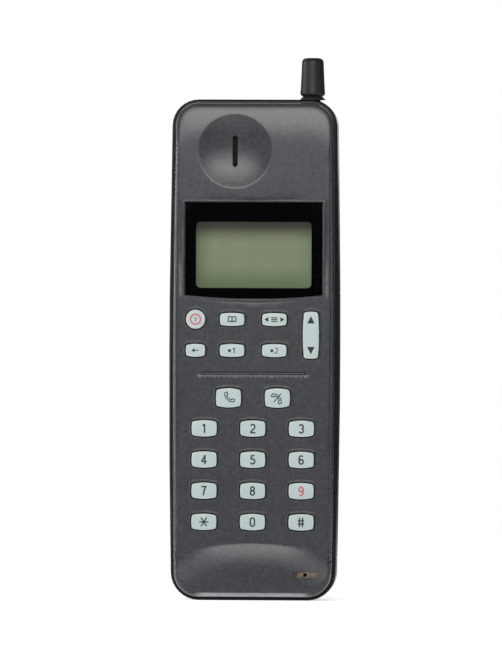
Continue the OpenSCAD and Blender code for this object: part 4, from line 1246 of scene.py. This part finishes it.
    def inner(self, places: Points) -> np.ndarray:
        """Depth of the inside face, with the boss behind the dish."""
        reach = np.hypot(places[:, 0] - self.dish_x, places[:, 1] - self.dish_z)
        boss = 1 - eased(reach, self.dish_r + 0.4, self.dish_r + 0.9)
        roll = np.clip(self.face_depth(places), 0, self.roll_drop)
        return self.inner_y + np.maximum(boss * (self.dish_back_y - self.inner_y), roll)

    @staticmethod
    def add_strip(vertices: list, faces: list, first: list, second: list, hole: bool) -> None:
        """Adds the wall between two closed runs of equally many points."""
        start, n = len(vertices), len(first)
        vertices.extend(first)
        vertices.extend(second)
        for i in range(n):
            j = (i + 1) % n
            quad = (start + i, start + n + i, start + n + j, start + j)
            faces.append(quad[::-1] if hole else quad)

    @staticmethod
    def add_plate(vertices: list, faces: list, outer: Points, holes: list[Points],
                  depth: Callable[[Points], Points], back: bool) -> None:
        """Adds a plate between an outline and its holes, facing back or front."""
        points, loops = numbered([outer, *holes])
        flat = np.array(points)
        start = len(vertices)
        vertices.extend(FrontShell.level(flat, depth(flat)))
        for tri in triangulated(flat, loops, outer, holes):
            order = tri[::-1] if back else tri
            faces.append(tuple(start + i for i in order))

    def grime(self, places: Points) -> np.ndarray:
        """Tan dirt that fills the voice slot, but for its left end."""
        flat = places[:, [0, 2]]
        slot = 1 - eased(self.voice_reach(flat), 0.85, 1.12)
        return slot * self.past_voice_end(flat) * (places[:, 1] < self.face_y + 0.5)

    def soot_and_shade(self, places: Points) -> np.ndarray:
        """Painted shade, with dark dirt, on the walls of the key openings, in the slots, along the window's bezel and
        at the groove's ends.
        """
        flat = places[:, [0, 2]]
        walls = np.zeros(len(flat))
        for key in self.keys:
            hole = key.opening().ring(self.key_gap)
            near = close_to(hole, flat, 0.5)
            walls[near] = np.maximum(walls[near], 1 - eased(distance_to(hole, flat[near]), 0.02, 0.12))
        walls = np.maximum(walls, 1 - eased(distance_to(self.slot(0.0), flat), 0.0, 0.1))
        bezel = distance_to(self.pane(self.pane_gap), flat)
        walls = np.maximum(walls, 0.8 * np.exp(-((bezel - 1.02) / 0.1) ** 2))
        slot = 0.9 * (1 - eased(self.voice_reach(flat), 0.98, 1.15))
        walls = np.maximum(walls, slot * (1 - self.past_voice_end(flat)))
        past = np.maximum(np.abs(flat[:, 0]) - self.groove_l / 2 + 0.6, 0)
        groove = np.hypot(past, flat[:, 1] - self.groove_z - 0.2)
        walls = np.maximum(walls, 0.5 * (1 - eased(groove, 0.1, 0.55)))
        dot = np.hypot(flat[:, 0] - (self.groove_l / 2 - 0.8), flat[:, 1] - self.groove_z)
        return np.maximum(walls, 0.8 * (1 - eased(dot, 0.35, 0.7)))

    def painted_foot_highlight(self, places: Points) -> np.ndarray:
        """How far a painted highlight pales the foot's round edge, most in its middle."""
        rise = np.abs(places[:, 2] - (self.inset + 0.62))
        across = 1 - eased(np.abs(places[:, 0]), 16.0, 20.5)
        return (1 - eased(rise, 0.3, 1.0)) * across * (places[:, 1] < self.split_y - 0.5)

    def polish(self, places: Points) -> np.ndarray:
        """How far the round edges are rubbed smooth."""
        depth = places[:, 1] - self.face_y
        flat = places[:, [0, 2]]
        zero = np.zeros(len(flat))
        edge = 1 - eased(self.outline.depth_in(flat, self.inset + zero, zero), 1.3, 2.0)
        return edge * (depth < self.edge_c + 1.0)


def oval(x: float, z: float, rx: float, rz: float, start: float, end: float, steps: int = 16) -> list:
    """Points of an oval's arc, with its angles in degrees."""
    angles = np.radians(np.linspace(start, end, steps + 1))
    return [(x + rx * math.cos(a), z + rz * math.sin(a)) for a in angles]


@dataclass(frozen=True)
class Mark:
    """A printed mark: its strokes' middle lines and its solid shapes, in millimetres about its key's middle."""

    strokes: tuple = ()
    solids: tuple = ()
    width: float = 0.5
    place: tuple[float, float] = (0.0, 0.0)
    turn: float = 0.0
    scale: float = 1.1

    def moved(self, points: Sequence) -> Points:
        """Points turned, scaled and put in place."""
        return turned_flat(np.asarray(points, float) * self.scale, self.turn) + np.array(self.place)

    def ribbon(self, points: Points) -> list[Points]:
        """Short closed pieces, end over end, that make one stroke."""
        closed = np.hypot(*(points[0] - points[-1])) < 1e-6
        run = points[:-1] if closed else points
        after, before = np.roll(run, -1, axis=0) - run, run - np.roll(run, 1, axis=0)
        if not closed:
            after[-1], before[0] = before[-1], after[0]
        after, before = (v / np.hypot(v[:, 0], v[:, 1])[:, None] for v in (after, before))
        along = after + before
        along /= np.hypot(along[:, 0], along[:, 1])[:, None]
        lean = np.clip((along * after).sum(1), 0.55, 1.0)[:, None]
        side = np.column_stack([-along[:, 1], along[:, 0]]) * self.width / 2 / lean
        left, right = run + side, run - side
        if closed:
            left, right = np.vstack([left, left[:1]]), np.vstack([right, right[:1]])
        return [left, right]


def triangle(x: float, z: float, w: float, h: float, turn: float) -> Points:
    """A solid triangle about a middle, pointing up before it is turned."""
    flat = np.array([(-w / 2, -h / 2), (w / 2, -h / 2), (0.0, h / 2)])
    return turned_flat(flat, turn) + np.array([x, z])


def block(x: float, z: float, w: float, h: float) -> Points:
    """A solid rectangle about a middle."""
    return np.array([(x - w / 2, z - h / 2), (x + w / 2, z - h / 2), (x + w / 2, z + h / 2), (x - w / 2, z + h / 2)])


NINE = (oval(0, -0.55, 0.62, 0.70, 0, 360), oval(0.02, 0.50, 0.64, 0.75, 40, 180) + [(-0.62, -0.5)])
HANDSET = ([(-1.95, 0.30)] + oval(0, 0.62, 1.95, 1.30, 194, 346, 14)
           + [(1.95, 0.30), (1.62, 0.92), (0.92, 0.55), (0.98, 0.02)] + oval(0, 0.35, 0.98, 0.50, -36, -144, 8)
           + [(-0.98, 0.02), (-0.92, 0.55), (-1.62, 0.92), (-1.95, 0.30)],)
BARS = tuple([(-0.95, z), (0.95, z)] for z in (0.55, 0.0, -0.55))
BOOK = ([(0, -0.62), (0, 0.52)], [(0, 0.52), (-0.45, 0.74), (-1.0, 0.62), (-1.0, -0.56), (-0.45, -0.44), (0, -0.66),
        (0.45, -0.44), (1.0, -0.56), (1.0, 0.62), (0.45, 0.74), (0, 0.52)])

SQUARE_MARK = Mark((), (block(-0.75, -0.05, 0.85, 0.85),))
MARKS: dict[str, tuple[Mark, ...]] = {
    "key_0": (Mark((oval(0, 0.63, 0.62, 0.62, 0, 180) + oval(0, -0.63, 0.62, 0.62, 180, 360) + [(0.62, 0.63)],)),),
    "key_1": (Mark(([(-0.46, 0.72), (0.0, 1.22)],), (block(0.12, 0.0, 0.46, 2.84),)),),
    "key_2": (Mark((oval(0, 0.60, 0.62, 0.65, 165, -25) + [(0.30, -0.15), (-0.35, -0.72), (-0.62, -1.06)],),
                   (block(0.0, -1.25, 1.62, 0.45),)),),
    "key_3": (Mark((oval(-0.02, 0.64, 0.58, 0.61, 160, -80), oval(-0.02, -0.60, 0.64, 0.65, 84, -160))),),
    "key_4": (Mark(([(0.28, 1.2), (-0.68, -0.52)],), (block(0.28, 0.0, 0.45, 2.84), block(0.0, -0.56, 1.66, 0.42))),),
    "key_5": (Mark(([(-0.42, 1.2), (-0.50, 0.16)], oval(-0.02, -0.50, 0.66, 0.75, 130, -155)),
                   (block(0.06, 1.25, 1.05, 0.44),)),),
    "key_6": (Mark(NINE),),
    "key_7": (Mark(([(0.55, 1.12), (0.10, 0.2), (-0.18, -1.42)],), (block(0.0, 1.25, 1.56, 0.45),)),),
    "key_8": (Mark((oval(0, 0.66, 0.52, 0.59, 0, 360), oval(0, -0.59, 0.62, 0.66, 0, 360))),),
    "key_9": (Mark(NINE, turn=180.0),),
    "key_star": (Mark(([(-1.45, 0.0), (1.45, 0.0)], [(-0.87, -1.35), (0.87, 1.35)], [(-0.87, 1.35), (0.87, -1.35)]),
                      width=0.42),),
    "key_hash": (Mark((), (block(-0.45, 0, 0.42, 2.85), block(0.45, 0, 0.42, 2.85), block(0, 0.48, 1.95, 0.42),
                           block(0, -0.48, 1.95, 0.42))),),
    "key_scroll": (Mark((), (triangle(0, 4.7, 2.3, 2.3, 0), triangle(0, -4.7, 2.3, 2.3, 180))),),
    "key_power": (Mark((oval(0, 0, 1.52, 1.52, 0, 360, 40),), (block(0.0, 0.0, 0.42, 1.35),)),),
    "key_call": (Mark(HANDSET, width=0.34, turn=-45.0, place=(0.1, 0.0)),),
    "key_end": (Mark(HANDSET + ([(-0.15, 1.75), (0.15, -1.7)],), width=0.34, turn=135.0, place=(0.0, 0.05)),),
    "key_memory": (Mark(BOOK, width=0.36, scale=1.3),),
    "key_menu": (Mark(BARS, (triangle(-2.45, 0, 1.5, 1.25, 90), triangle(2.45, 0, 1.5, 1.25, -90)), width=0.34),),
    "key_clear": (Mark(([(1.0, 0.0), (-0.6, 0.0)],), (triangle(-0.75, 0, 1.35, 0.95, 90),), width=0.3),),
    "key_p1": (SQUARE_MARK,
               Mark(([(-0.3, 0.3), (0.0, 0.78)],), (block(0.06, 0.0, 0.3, 1.72),), width=0.26, place=(0.72, 0.0))),
    "key_p2": (SQUARE_MARK,
               Mark((oval(0, 0.36, 0.40, 0.40, 165, -25) + [(0.1, -0.2), (-0.40, -0.66)],),
                    (block(0.0, -0.76, 1.05, 0.22),), width=0.24, place=(0.72, 0.0))),
}
RED_MARKS = ("key_9", "key_power")


@dataclass
class Legend:
    """The printed mark of one key, a thin solid that lies on its crown."""

    key: KeyShape
    depth: Callable[[Points], np.ndarray]
    above: float = 0.02
    below: float = 0.03

    def build(self) -> bpy.types.Object:
        """Makes the mark's strokes and solid shapes."""
        vertices, faces = [], []
        for mark in MARKS[self.key.node]:
            for stroke in mark.strokes:
                left, right = mark.ribbon(mark.moved(self.finer(stroke)))
                self.add_band(vertices, faces, left, right)
            for solid in mark.solids:
                ring = mark.moved(solid)
                self.add_solid(vertices, faces, self.finer(np.vstack([ring, ring[:1]]))[:-1])
        red = self.key.node in RED_MARKS
        finish = (Finish.LEGEND_RED if red else Finish.LEGEND_DARK).material
        made = new_object("legend_" + self.key.node[4:], vertices, faces, finish, 30.0)
        body = "scroll" if self.key.node == "key_scroll" else self.key.node
        return put(made, body, "key_pale" if red else "shell_black")

    @staticmethod
    def finer(points: Sequence) -> Points:
        """The run with a point at least every 0.3 mm, so that it follows the crown."""
        run = np.asarray(points, float)
        out = [run[:1]]
        for start, end in zip(run, run[1:]):
            count = max(int(np.hypot(*(end - start)) / 0.3), 1)
            out.append(start + (end - start) * (np.arange(1, count + 1) / count)[:, None])
        return np.vstack(out)

    def place(self, flat: Points, lift: float) -> list[tuple[float, float, float]]:
        """Points over or under the key's crown."""
        middle = self.key.box.middle
        return [(x + middle.x, self.key.face_y + d - lift, z + middle.z) for (x, z), d in zip(flat, self.depth(flat))]

    def add_band(self, vertices: list, faces: list, left: Points, right: Points) -> None:
        """Adds one stroke between its two sides, closed all round."""
        n, start = len(left), len(vertices)
        for flat, lift in ((left, self.above), (right, self.above), (right, -self.below), (left, -self.below)):
            vertices.extend(self.place(flat, lift))
        for i in range(n - 1):
            for a, b in ((0, 1), (1, 2), (2, 3), (3, 0)):
                faces.append((start + a * n + i, start + b * n + i, start + b * n + i + 1, start + a * n + i + 1))
        if np.hypot(*(left[0] - left[-1])) > 1e-6:
            faces.append(tuple(start + k * n for k in range(4))[::-1])
            faces.append(tuple(start + k * n + n - 1 for k in range(4)))

    def add_solid(self, vertices: list, faces: list, ring: Points) -> None:
        """Adds one solid shape with its middle point, closed all round."""
        n, start = len(ring), len(vertices)
        middle = ring.mean(0, keepdims=True)
        for lift in (self.above, -self.below):
            vertices.extend(self.place(np.vstack([ring, middle]), lift))
        for i in range(n):
            j = (i + 1) % n
            faces.append((start + i, start + j, start + n))
            faces.append((start + n + 1 + j, start + n + 1 + i, start + 2 * n + 1))
            faces.append((start + j, start + i, start + n + 1 + i, start + n + 1 + j))


@dataclass
class Keypad:
    """The keys: crowned caps with their retaining flanges and legends."""

    keys: list[KeyShape]
    crown: float = 0.14
    edge_r: float = 0.18
    flange_front: float = 2.65
    flange_back: float = 3.45
    inset_rings: tuple = (0, 0.02, 0.06, 0.12, 0.2, 0.3, 0.5, 0.8, 1.2, 1.7, 2.2, 2.6)

    def cap_depth(self, key: KeyShape, places: Points) -> np.ndarray:
        """Depth of the cap's top under its highest point."""
        gap = distance_to(key.outline(0), places)
        reach = min(key.width, key.height) / 2
        dome = self.crown * (1 - np.clip(gap / reach, 0, 1)) ** 2
        return dome + fillet(gap, self.edge_r)

    def build(self) -> None:
        """Makes every key."""
        for key in self.keys:
            self.build_cap(key)
            Legend(key, lambda flat, key=key: self.cap_depth(key, flat)).build()

    def build_cap(self, key: KeyShape) -> bpy.types.Object:
        """Makes one key as a closed mesh.

        Args:
            key: The key's shape.

        Returns:
            The key's object.
        """
        limit = min(key.width, key.height) / 2
        rings = [key.outline(-g) for g in self.inset_rings if g < limit - 0.25]
        front_y, back_y = key.box.low.y + self.flange_front, key.box.low.y + self.flange_back
        wide = key.outline(0 if key.node == "key_scroll" else key.flange)
        runs = [[(x, back_y, z) for x, z in wide], [(x, front_y, z) for x, z in wide],
                [(x, front_y, z) for x, z in rings[0]]]
        for ring in rings:
            runs.append([(x, key.face_y + d, z) for (x, z), d in zip(ring, self.cap_depth(key, ring))])
        vertices = [point for run in runs for point in run]
        faces = tube(0, len(runs), len(rings[0]))
        self.add_plungers(key, vertices, faces, back_y)
        centre = key.box.middle
        placed = [(x + centre.x, y, z + centre.z) for x, y, z in vertices]
        made = new_object(key.node + "_cap", placed, faces, Finish.KEY_RESIN.material, 50.0)
        self.shade(made, key)
        body = "scroll" if key.node == "key_scroll" else key.node
        return put(made, body, "key_pale", key.node)

    def add_plungers(self, key: KeyShape, vertices: list, faces: list, back_y: float) -> None:
        """Adds the key's plungers, and the rocker's trunnions, as closed round bars.

        Args:
            key: The key's shape.
            vertices: The mesh's points so far.
            faces: The mesh's faces so far.
            back_y: Depth of the cap's back.
        """
        steps = 20
        rocker = key.node == "key_scroll"
        spots = [-0.34 * key.height, 0.34 * key.height] if rocker else [0.0]
        bars = [(np.array([0, back_y - 0.05, z]), np.array([0, key.box.high.y, z]), 1.6 if rocker else 1.4)
                for z in spots]
        if rocker:
            y = key.box.high.y - 0.5
            bars += [(np.array([side * (key.width / 2 - 0.1), y, 0]),
                      np.array([side * (key.width / 2 + key.trunnion), y, 0]), 0.5) for side in (-1, 1)]
        for low, high, r in bars:
            along = (high - low) / np.linalg.norm(high - low)
            first = np.cross(along, [0, 0, 1])
            second = np.cross(along, first)
            start = len(vertices)
            for end in (low, high):
                for i in range(steps):
                    a = 2 * math.pi * i / steps
                    vertices.append(tuple(end + r * (math.cos(a) * first + math.sin(a) * second)))
            faces.extend(tube(start, 2, steps))

    def shade(self, made: bpy.types.Object, key: KeyShape) -> None:
        """Marks a painted pale highlight along the cap's edge, painted shade with soot on its walls, and painted light
        on its top wall.
        """
        middle = np.array([key.box.middle.x, key.box.middle.z])
        rim_y = key.face_y + self.crown + 0.45

        def gap(places: Points) -> np.ndarray:
            """Distance from each place to the cap's outline."""
            return distance_to(key.outline(0), places[:, [0, 2]] - middle)

        def below(places: Points) -> np.ndarray:
            """1 under the cap's round edge."""
            return (places[:, 1] > rim_y).astype(float)

        # painted highlight along the cap's edge
        set_attribute(made, "edge", lambda p: (1 - eased(gap(p), 0.05, 0.4)) * (1 - below(p)))
        # painted shade with soot on the walls below the round edge
        set_attribute(made, "soot_and_shade", below)
        # painted light on the cap's top wall
        set_attribute(made, "painted_top_glow", lambda p: below(p) * eased(
            p[:, 2] - middle[1], key.height / 2 - 0.3, key.height / 2))


@dataclass
class Aerial:
    """The pull-out aerial's tapered finger cap, and the flared collar that it seats on."""

    cap: Box
    bush: Box
    top_r: float = 3.66
    lip_r: float = 4.18
    round_r: float = 1.45
    bore_r: float = 1.16
    collar_h: float = 1.15

    def build(self) -> None:
        """Makes the cap and the collar."""
        x, y = self.cap.middle.x, self.cap.middle.y
        top = self.cap.size.z
        dome = map(tuple, arc(self.top_r - self.round_r, top - self.round_r, self.round_r, 6, 88, 8))
        profile = [(0, 0), (3.42, 0), (3.52, 0.03), (3.6, 0.1), (4.0, 0.46), (4.1, 0.58), (4.16, 0.74),
                   (self.lip_r, 0.95), (self.lip_r, 1.3), (4.15, 1.62), (4.1, 1.9), (4.07, 2.3),
                   (3.9, 5.8), (3.74, 9.6), *dome, (1.0, top), (0, top)]
        self.add("aerial_cap", profile, self.cap.low.z, x, y, "antenna", "antenna_cap")
        foot = self.bush.high.z - self.collar_h
        low = self.bush.low.z - foot
        collar = [(self.bore_r, low), (2.6, low), (2.6, 0.02), (4.06, 0.02), (4.14, 0.1), (4.16, 0.3), (4.1, 0.46),
                  (3.94, 0.56), (3.7, 0.7), (3.56, 0.86), (3.5, 1.05), (3.42, 1.13), (3.3, self.collar_h),
                  (self.bore_r, self.collar_h)]
        self.add("aerial_collar", collar, foot, x, y, "case", "antenna_bush")

    @staticmethod
    def add(name: str, profile: list, low: float, x: float, y: float, body: str, node: str) -> None:
        """Turns a profile about the aerial's axis and puts it in place."""
        vertices, faces = revolve(np.array(profile, float), 64)
        placed = [(vx + x, vy + y, vz + low) for vx, vy, vz in vertices]
        made = new_object(name, placed, faces, Finish.AERIAL_RUBBER.material, 38.0)
        put(made, body, "antenna_rubber", node)


@dataclass
class Repeat:
    """A piece repeated along a line by Geometry Nodes, then kept as one mesh."""

    name: str
    piece: bpy.types.Object
    finish: Finish
    count: int
    start: tuple[float, float, float]
    step: tuple[float, float, float]
    turn: tuple[float, float, float] = (0.0, 0.0, 0.0)

    def tree(self) -> bpy.types.NodeTree:
        """Makes the node group: a line of points, a copy on each, each turned on by the same angle."""
        group = bpy.data.node_groups.new("repeat_" + self.name, "GeometryNodeTree")
        face = group.interface
        face.new_socket("Count", in_out="INPUT", socket_type="NodeSocketInt")
        for name in ("Start", "Step", "Turn"):
            face.new_socket(name, in_out="INPUT", socket_type="NodeSocketVector")
        face.new_socket("Piece", in_out="INPUT", socket_type="NodeSocketObject")
        face.new_socket("Finish", in_out="INPUT", socket_type="NodeSocketMaterial")
        face.new_socket("Geometry", in_out="OUTPUT", socket_type="NodeSocketGeometry")
        given, out, line, source, index, turned, spread, real, dressed = (group.nodes.new(kind) for kind in (
            "NodeGroupInput", "NodeGroupOutput", "GeometryNodeMeshLine", "GeometryNodeObjectInfo",
            "GeometryNodeInputIndex", "ShaderNodeVectorMath", "GeometryNodeInstanceOnPoints",
            "GeometryNodeRealizeInstances", "GeometryNodeSetMaterial"))
        turned.operation = "SCALE"
        for first, second in (
                (given.outputs["Count"], line.inputs["Count"]),
                (given.outputs["Start"], line.inputs["Start Location"]),
                (given.outputs["Step"], line.inputs["Offset"]),
                (given.outputs["Piece"], source.inputs["Object"]),
                (given.outputs["Turn"], turned.inputs[0]),
                (index.outputs[0], turned.inputs["Scale"]),
                (turned.outputs[0], spread.inputs["Rotation"]),
                (line.outputs[0], spread.inputs["Points"]),
                (source.outputs["Geometry"], spread.inputs["Instance"]),
                (spread.outputs[0], real.inputs[0]),
                (real.outputs[0], dressed.inputs["Geometry"]),
                (given.outputs["Finish"], dressed.inputs["Material"]),
                (dressed.outputs[0], out.inputs[0])):
            group.links.new(first, second)
        return group

    def build(self) -> bpy.types.Object:
        """Makes the repeated piece as a plain mesh and removes what it was made with."""
        shell = linked(self.name + "_source", bpy.data.meshes.new(self.name + "_source"))
        nodes = shell.modifiers.new("repeat", "NODES")
        nodes.node_group = self.tree()
        values = {"Count": self.count, "Start": [c * MM for c in self.start], "Step": [c * MM for c in self.step],
                  "Turn": [math.radians(c) for c in self.turn], "Piece": self.piece, "Finish": self.finish.material}
        for item in nodes.node_group.interface.items_tree:
            if item.in_out == "INPUT":
                nodes[item.identifier] = values[item.name]
        bpy.context.view_layer.update()
        graph = bpy.context.evaluated_depsgraph_get()
        mesh = bpy.data.meshes.new_from_object(shell.evaluated_get(graph))
        for old in (shell, self.piece):
            bpy.data.objects.remove(old, do_unlink=True)
        mesh.name = self.name
        made = linked(self.name, mesh)
        smooth_by_angle(mesh, 40.0)
        return made


@dataclass
class EarpieceScreen:
    """The woven dust screen behind the earpiece slot."""

    box: Box
    pitch: float = 0.34
    thread_r: float = 0.085
    wave: float = 0.06
    sides: int = 8

    def thread(self, name: str, length: float, upright: bool) -> bpy.types.Object:
        """One thread that weaves over and under, with its middle at the origin."""
        steps = max(int(length / (self.pitch / 4)), 8)
        vertices = []
        for k in range(steps + 1):
            t = -length / 2 + length * k / steps
            y = self.wave * math.cos(math.pi * t / self.pitch)
            for a in np.radians(np.arange(self.sides) * 360 / self.sides):
                across, deep = self.thread_r * math.cos(a), y + self.thread_r * math.sin(a)
                vertices.append((across, deep, t) if upright else (t, deep, -across))
        return new_object(name, vertices, tube(0, steps + 1, self.sides), Finish.WEAVE.material, 60.0)

    def build(self) -> None:
        """Makes both runs of threads inside the screen's rim."""
        size, middle = self.box.size, self.box.middle
        y = self.box.low.y + self.thread_r + self.wave
        rows, columns = int((size.z - 1.0) / self.pitch), int((size.x - 1.0) / self.pitch)
        across = Repeat("screen_weft", self.thread("weft", size.x - 0.6, False), Finish.WEAVE, rows,
                        (middle.x, y, middle.z - self.pitch * (rows - 1) / 2), (0, 0, self.pitch), (180, 0, 0)).build()
        up = Repeat("screen_warp", self.thread("warp", size.z - 0.6, True), Finish.WEAVE, columns,
                    (middle.x - self.pitch * (columns - 1) / 2, y, middle.z), (self.pitch, 0, 0), (0, 0, 180)).build()
        for run in (across, up):
            put(run, "case", "mesh_cloth", "earpiece_screen")


@dataclass
class TrayBead:
    """The battery tray's narrow moulded bead, along both of its sides, that closes the seam with the bay."""

    tray: Box
    outline: BodyOutline
    inset: float = 2.6
    width: float = 0.9
    rise: float = 0.15
    root: float = 0.25
    margin: float = 6.0

    def build(self) -> None:
        """Makes the bead of each side, bowed as the body's side is."""
        heights = np.linspace(self.tray.low.z + self.margin, self.tray.high.z - self.margin, 30)
        section = [(-self.width / 2, self.root), (-self.width / 2, 0), (-self.width / 3, -self.rise * 0.8),
                   (-self.width / 6, -self.rise), (self.width / 6, -self.rise), (self.width / 3, -self.rise * 0.8),
                   (self.width / 2, 0), (self.width / 2, self.root)]
        for side, label in ((-1, "left"), (1, "right")):
            vertices = []
            for z in heights:
                middle = side * (self.half_width(float(z)) - self.inset)
                vertices += [(middle + x, self.tray.low.y + y, float(z)) for x, y in section]
            faces = tube(0, len(heights), len(section))
            made = new_object("tray_bead_" + label, vertices, faces, Finish.SHELL_BLACK.material, 50.0)
            put(made, "battery", "shell_black", "battery_tray")

    def half_width(self, z: float) -> float:
        """Half of the body's width at a height."""
        ring = self.outline.ring(0.0)
        right = ring[ring[:, 0] > 0]
        return float(np.interp(z, *right[np.argsort(right[:, 1])].T[::-1]))


# ---------------------------------------------------------------- dress of the kept CAD nodes


KEPT_NODES: dict[str, Finish] = {
    "lcd_frame": Finish.FRAME_GREY, "lcd_light_guide": Finish.GUIDE_CLEAR, "lcd_connectors": Finish.BLACK_RUBBER,
    "speaker_gasket": Finish.BLACK_RUBBER, "earpiece_speaker": Finish.INNER_BLACK, "microphone": Finish.BLACK_RUBBER,
    "microphone_boot": Finish.BLACK_RUBBER, "keypad_mat": Finish.MAT_SILICONE, "key_leds": Finish.GUIDE_CLEAR,
    "main_board": Finish.BOARD, "rf_board": Finish.BOARD, "logic_shield": Finish.TINNED,
    "rf_shield": Finish.TINNED, "board_connector": Finish.INNER_WHITE, "buzzer": Finish.INNER_BLACK,
    "antenna_rod": Finish.AERIAL_RUBBER,
    "antenna_clip": Finish.GOLD, "case_screws": Finish.STEEL, "power_contacts": Finish.GOLD,
    "sim_holder": Finish.STEEL, "sim_contacts": Finish.GOLD, "sim_card": Finish.CARD_WHITE,
    "charge_jack": Finish.INNER_BLACK, "system_connector": Finish.INNER_BLACK,
    "battery_cells": Finish.CELL_SLEEVE, "battery_contacts": Finish.GOLD, "latch_spring": Finish.STEEL,
    "window_mask": Finish.WINDOW_PRINT, "display_window": Finish.CLEAR_PANE,
}


def dress(node: str, material: bpy.types.Material) -> None:
    """Gives a CAD node that still shows its material."""
    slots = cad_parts[node].data.materials
    slots.clear()
    slots.append(material)


# ---------------------------------------------------------------- stage


@dataclass(frozen=True)
class Lamp:
    """A soft rectangular lamp: its middle, width and height in metres, and its power in watts."""

    name: str
    place: tuple[float, float, float]
    size: tuple[float, float]
    power: float

    def build(self, target: Vector) -> None:
        """Makes the lamp, facing the target."""
        light = bpy.data.lights.new(self.name, "AREA")
        light.shape = "RECTANGLE"
        light.size, light.size_y = self.size
        light.energy = self.power
        made = linked(self.name, light)
        made.location = self.place
        made.rotation_euler = (target - made.location).to_track_quat("-Z", "Y").to_euler()


LAMPS = (
    Lamp("soft_box_far", (0.0, -0.98, 0.42), (0.8, 0.2), 4.3),
    Lamp("soft_box_low", (0.0, -0.46, 0.285), (0.4, 0.12), 0.35),
    Lamp("soft_box_high", (0.0, -0.42, 0.37), (0.4, 0.12), 0.35),
    Lamp("left_fill", (-0.62, -0.40, 0.05), (0.16, 0.5), 1.4),
    Lamp("right_fill", (0.66, -0.34, 0.05), (0.16, 0.5), 0.8),
    Lamp("left_strip", (-0.75, 0.02, 0.10), (0.16, 0.9), 5.0),
    Lamp("back_fill", (0.0, 0.9, 0.45), (0.8, 0.6), 3.0),
)


@dataclass(frozen=True)
class Stage:
    """Floor, backdrop, lamps and camera."""

    distance: float = 2500.0
    scale: float = 0.3351
    image: tuple[int, int] = (502, 670)
    azimuth: float = 2.75
    roll: float = 0.24
    aim: tuple[float, float, float] = (-0.75, -12.2, 89.1)
    front_dim: float = 0.004
    round_dim: float = 0.10
    sensor: float = 24.0
    floor_r: float = 620.0

    def build(self) -> None:
        """Makes the whole stage."""
        self.camera()
        self.lamps()
        self.world()
        self.floor()
        bpy.context.scene.view_settings.view_transform = "Standard"

    def camera(self) -> None:
        """A long lens at the photograph's viewing angle."""
        lens = bpy.data.cameras.new("camera")
        lens.sensor_fit = "VERTICAL"
        lens.sensor_height = self.sensor
        lens.lens = self.sensor * self.distance / (self.image[1] * self.scale)
        lens.clip_start = 0.01
        lens.clip_end = 20.0
        made = linked("camera", lens)
        turn = math.radians(self.azimuth)
        target = Vector(self.aim) * MM
        away = Vector((math.sin(turn), -math.cos(turn), 0.0)) * self.distance * MM
        look = (-away).to_track_quat("-Z", "Y").to_matrix().to_4x4()
        made.matrix_world = (Matrix.Translation(target + away) @ look
                             @ Matrix.Rotation(math.radians(self.roll), 4, "Z"))
        bpy.context.scene.camera = made

    def lamps(self) -> None:
        """Soft boxes over the front, a fill at each side, a strip at the left and a fill behind."""
        for lamp in LAMPS:
            lamp.build(Vector((0.0, 0.0, 0.085)))

    def world(self) -> None:
        """White to the camera, dim otherwise, and nearly black in front where the camera stands."""
        world = bpy.data.worlds.new("studio")
        bpy.context.scene.world = world
        g = ShaderGraph("studio", world)
        path = g.node("ShaderNodeLightPath").outputs
        seen = g.calc("MAXIMUM", path["Is Camera Ray"], path["Is Transmission Ray"])
        way = g.node("ShaderNodeSeparateXYZ", {0: g.node("ShaderNodeTexCoord").outputs["Generated"]}).outputs["Y"]
        dim = g.ramp(way, -0.95, -0.5, self.front_dim, self.round_dim)
        light = g.node("ShaderNodeBackground", {
            "Color": (1.0, 1.0, 1.0, 1.0), "Strength": g.ramp(seen, 0.0, 1.0, dim, 1.0)})
        g.node("ShaderNodeOutputWorld", {"Surface": light.outputs[0]})

    def floor(self) -> None:
        """A pale round floor, white to the camera and to gloss, that keeps the telephone's shadow."""
        steps = 96
        rim = [(x, y, 0) for x, y in arc(0, 0, self.floor_r, 0, 360, steps)[:-1]]
        g = ShaderGraph("floor_white")
        path = g.node("ShaderNodeLightPath").outputs
        seen = g.calc("MAXIMUM", path["Is Camera Ray"], path["Is Glossy Ray"])
        matt = g.node("ShaderNodeBsdfDiffuse", {"Color": (0.86, 0.86, 0.86, 1.0)})
        glow = g.node("ShaderNodeEmission", {"Color": (1, 1, 1, 1), "Strength": 0.62})
        both = g.node("ShaderNodeAddShader", {0: matt.outputs[0], 1: glow.outputs[0]})
        made = new_object("floor", rim, [tuple(range(steps))], g.finish(g.node("ShaderNodeMixShader", {
            0: seen, 1: matt.outputs[0], 2: both.outputs[0]})))


def main() -> None:
    """Builds the telephone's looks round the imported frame, and the stage."""
    logging.basicConfig(level=logging.INFO, format="%(message)s")
    rear = Box.of("rear_cover")
    outline = BodyOutline(rear.size.x, rear.size.z)
    keys = [key_shape(node) for node in sorted(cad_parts) if node.startswith("key_") and node != "key_leds"]
    Stage().build()
    for node, finish in KEPT_NODES.items():
        dress(node, finish.material)
    FrontShell(outline, keys).build()
    Keypad(keys).build()
    Aerial(Box.of("antenna_cap"), Box.of("antenna_bush")).build()
    EarpieceScreen(Box.of("earpiece_screen")).build()
    dress("lcd_glass", DisplayFace(Box.of("lcd_light_guide")).build())
    for node in ("rear_cover", "battery_cover", "battery_tray"):
        made = cad_copy(node, node + "_skin", Finish.SHELL_BLACK.material)
        put(made, "case" if node == "rear_cover" else "battery", "shell_black", node)
    put(cad_copy("battery_latch", "latch_pad", Finish.LATCH_BLACK.material), "latch", "latch_black", "battery_latch")
    TrayBead(Box.of("battery_tray"), outline).build()


if __name__ == "__main__":
    main()
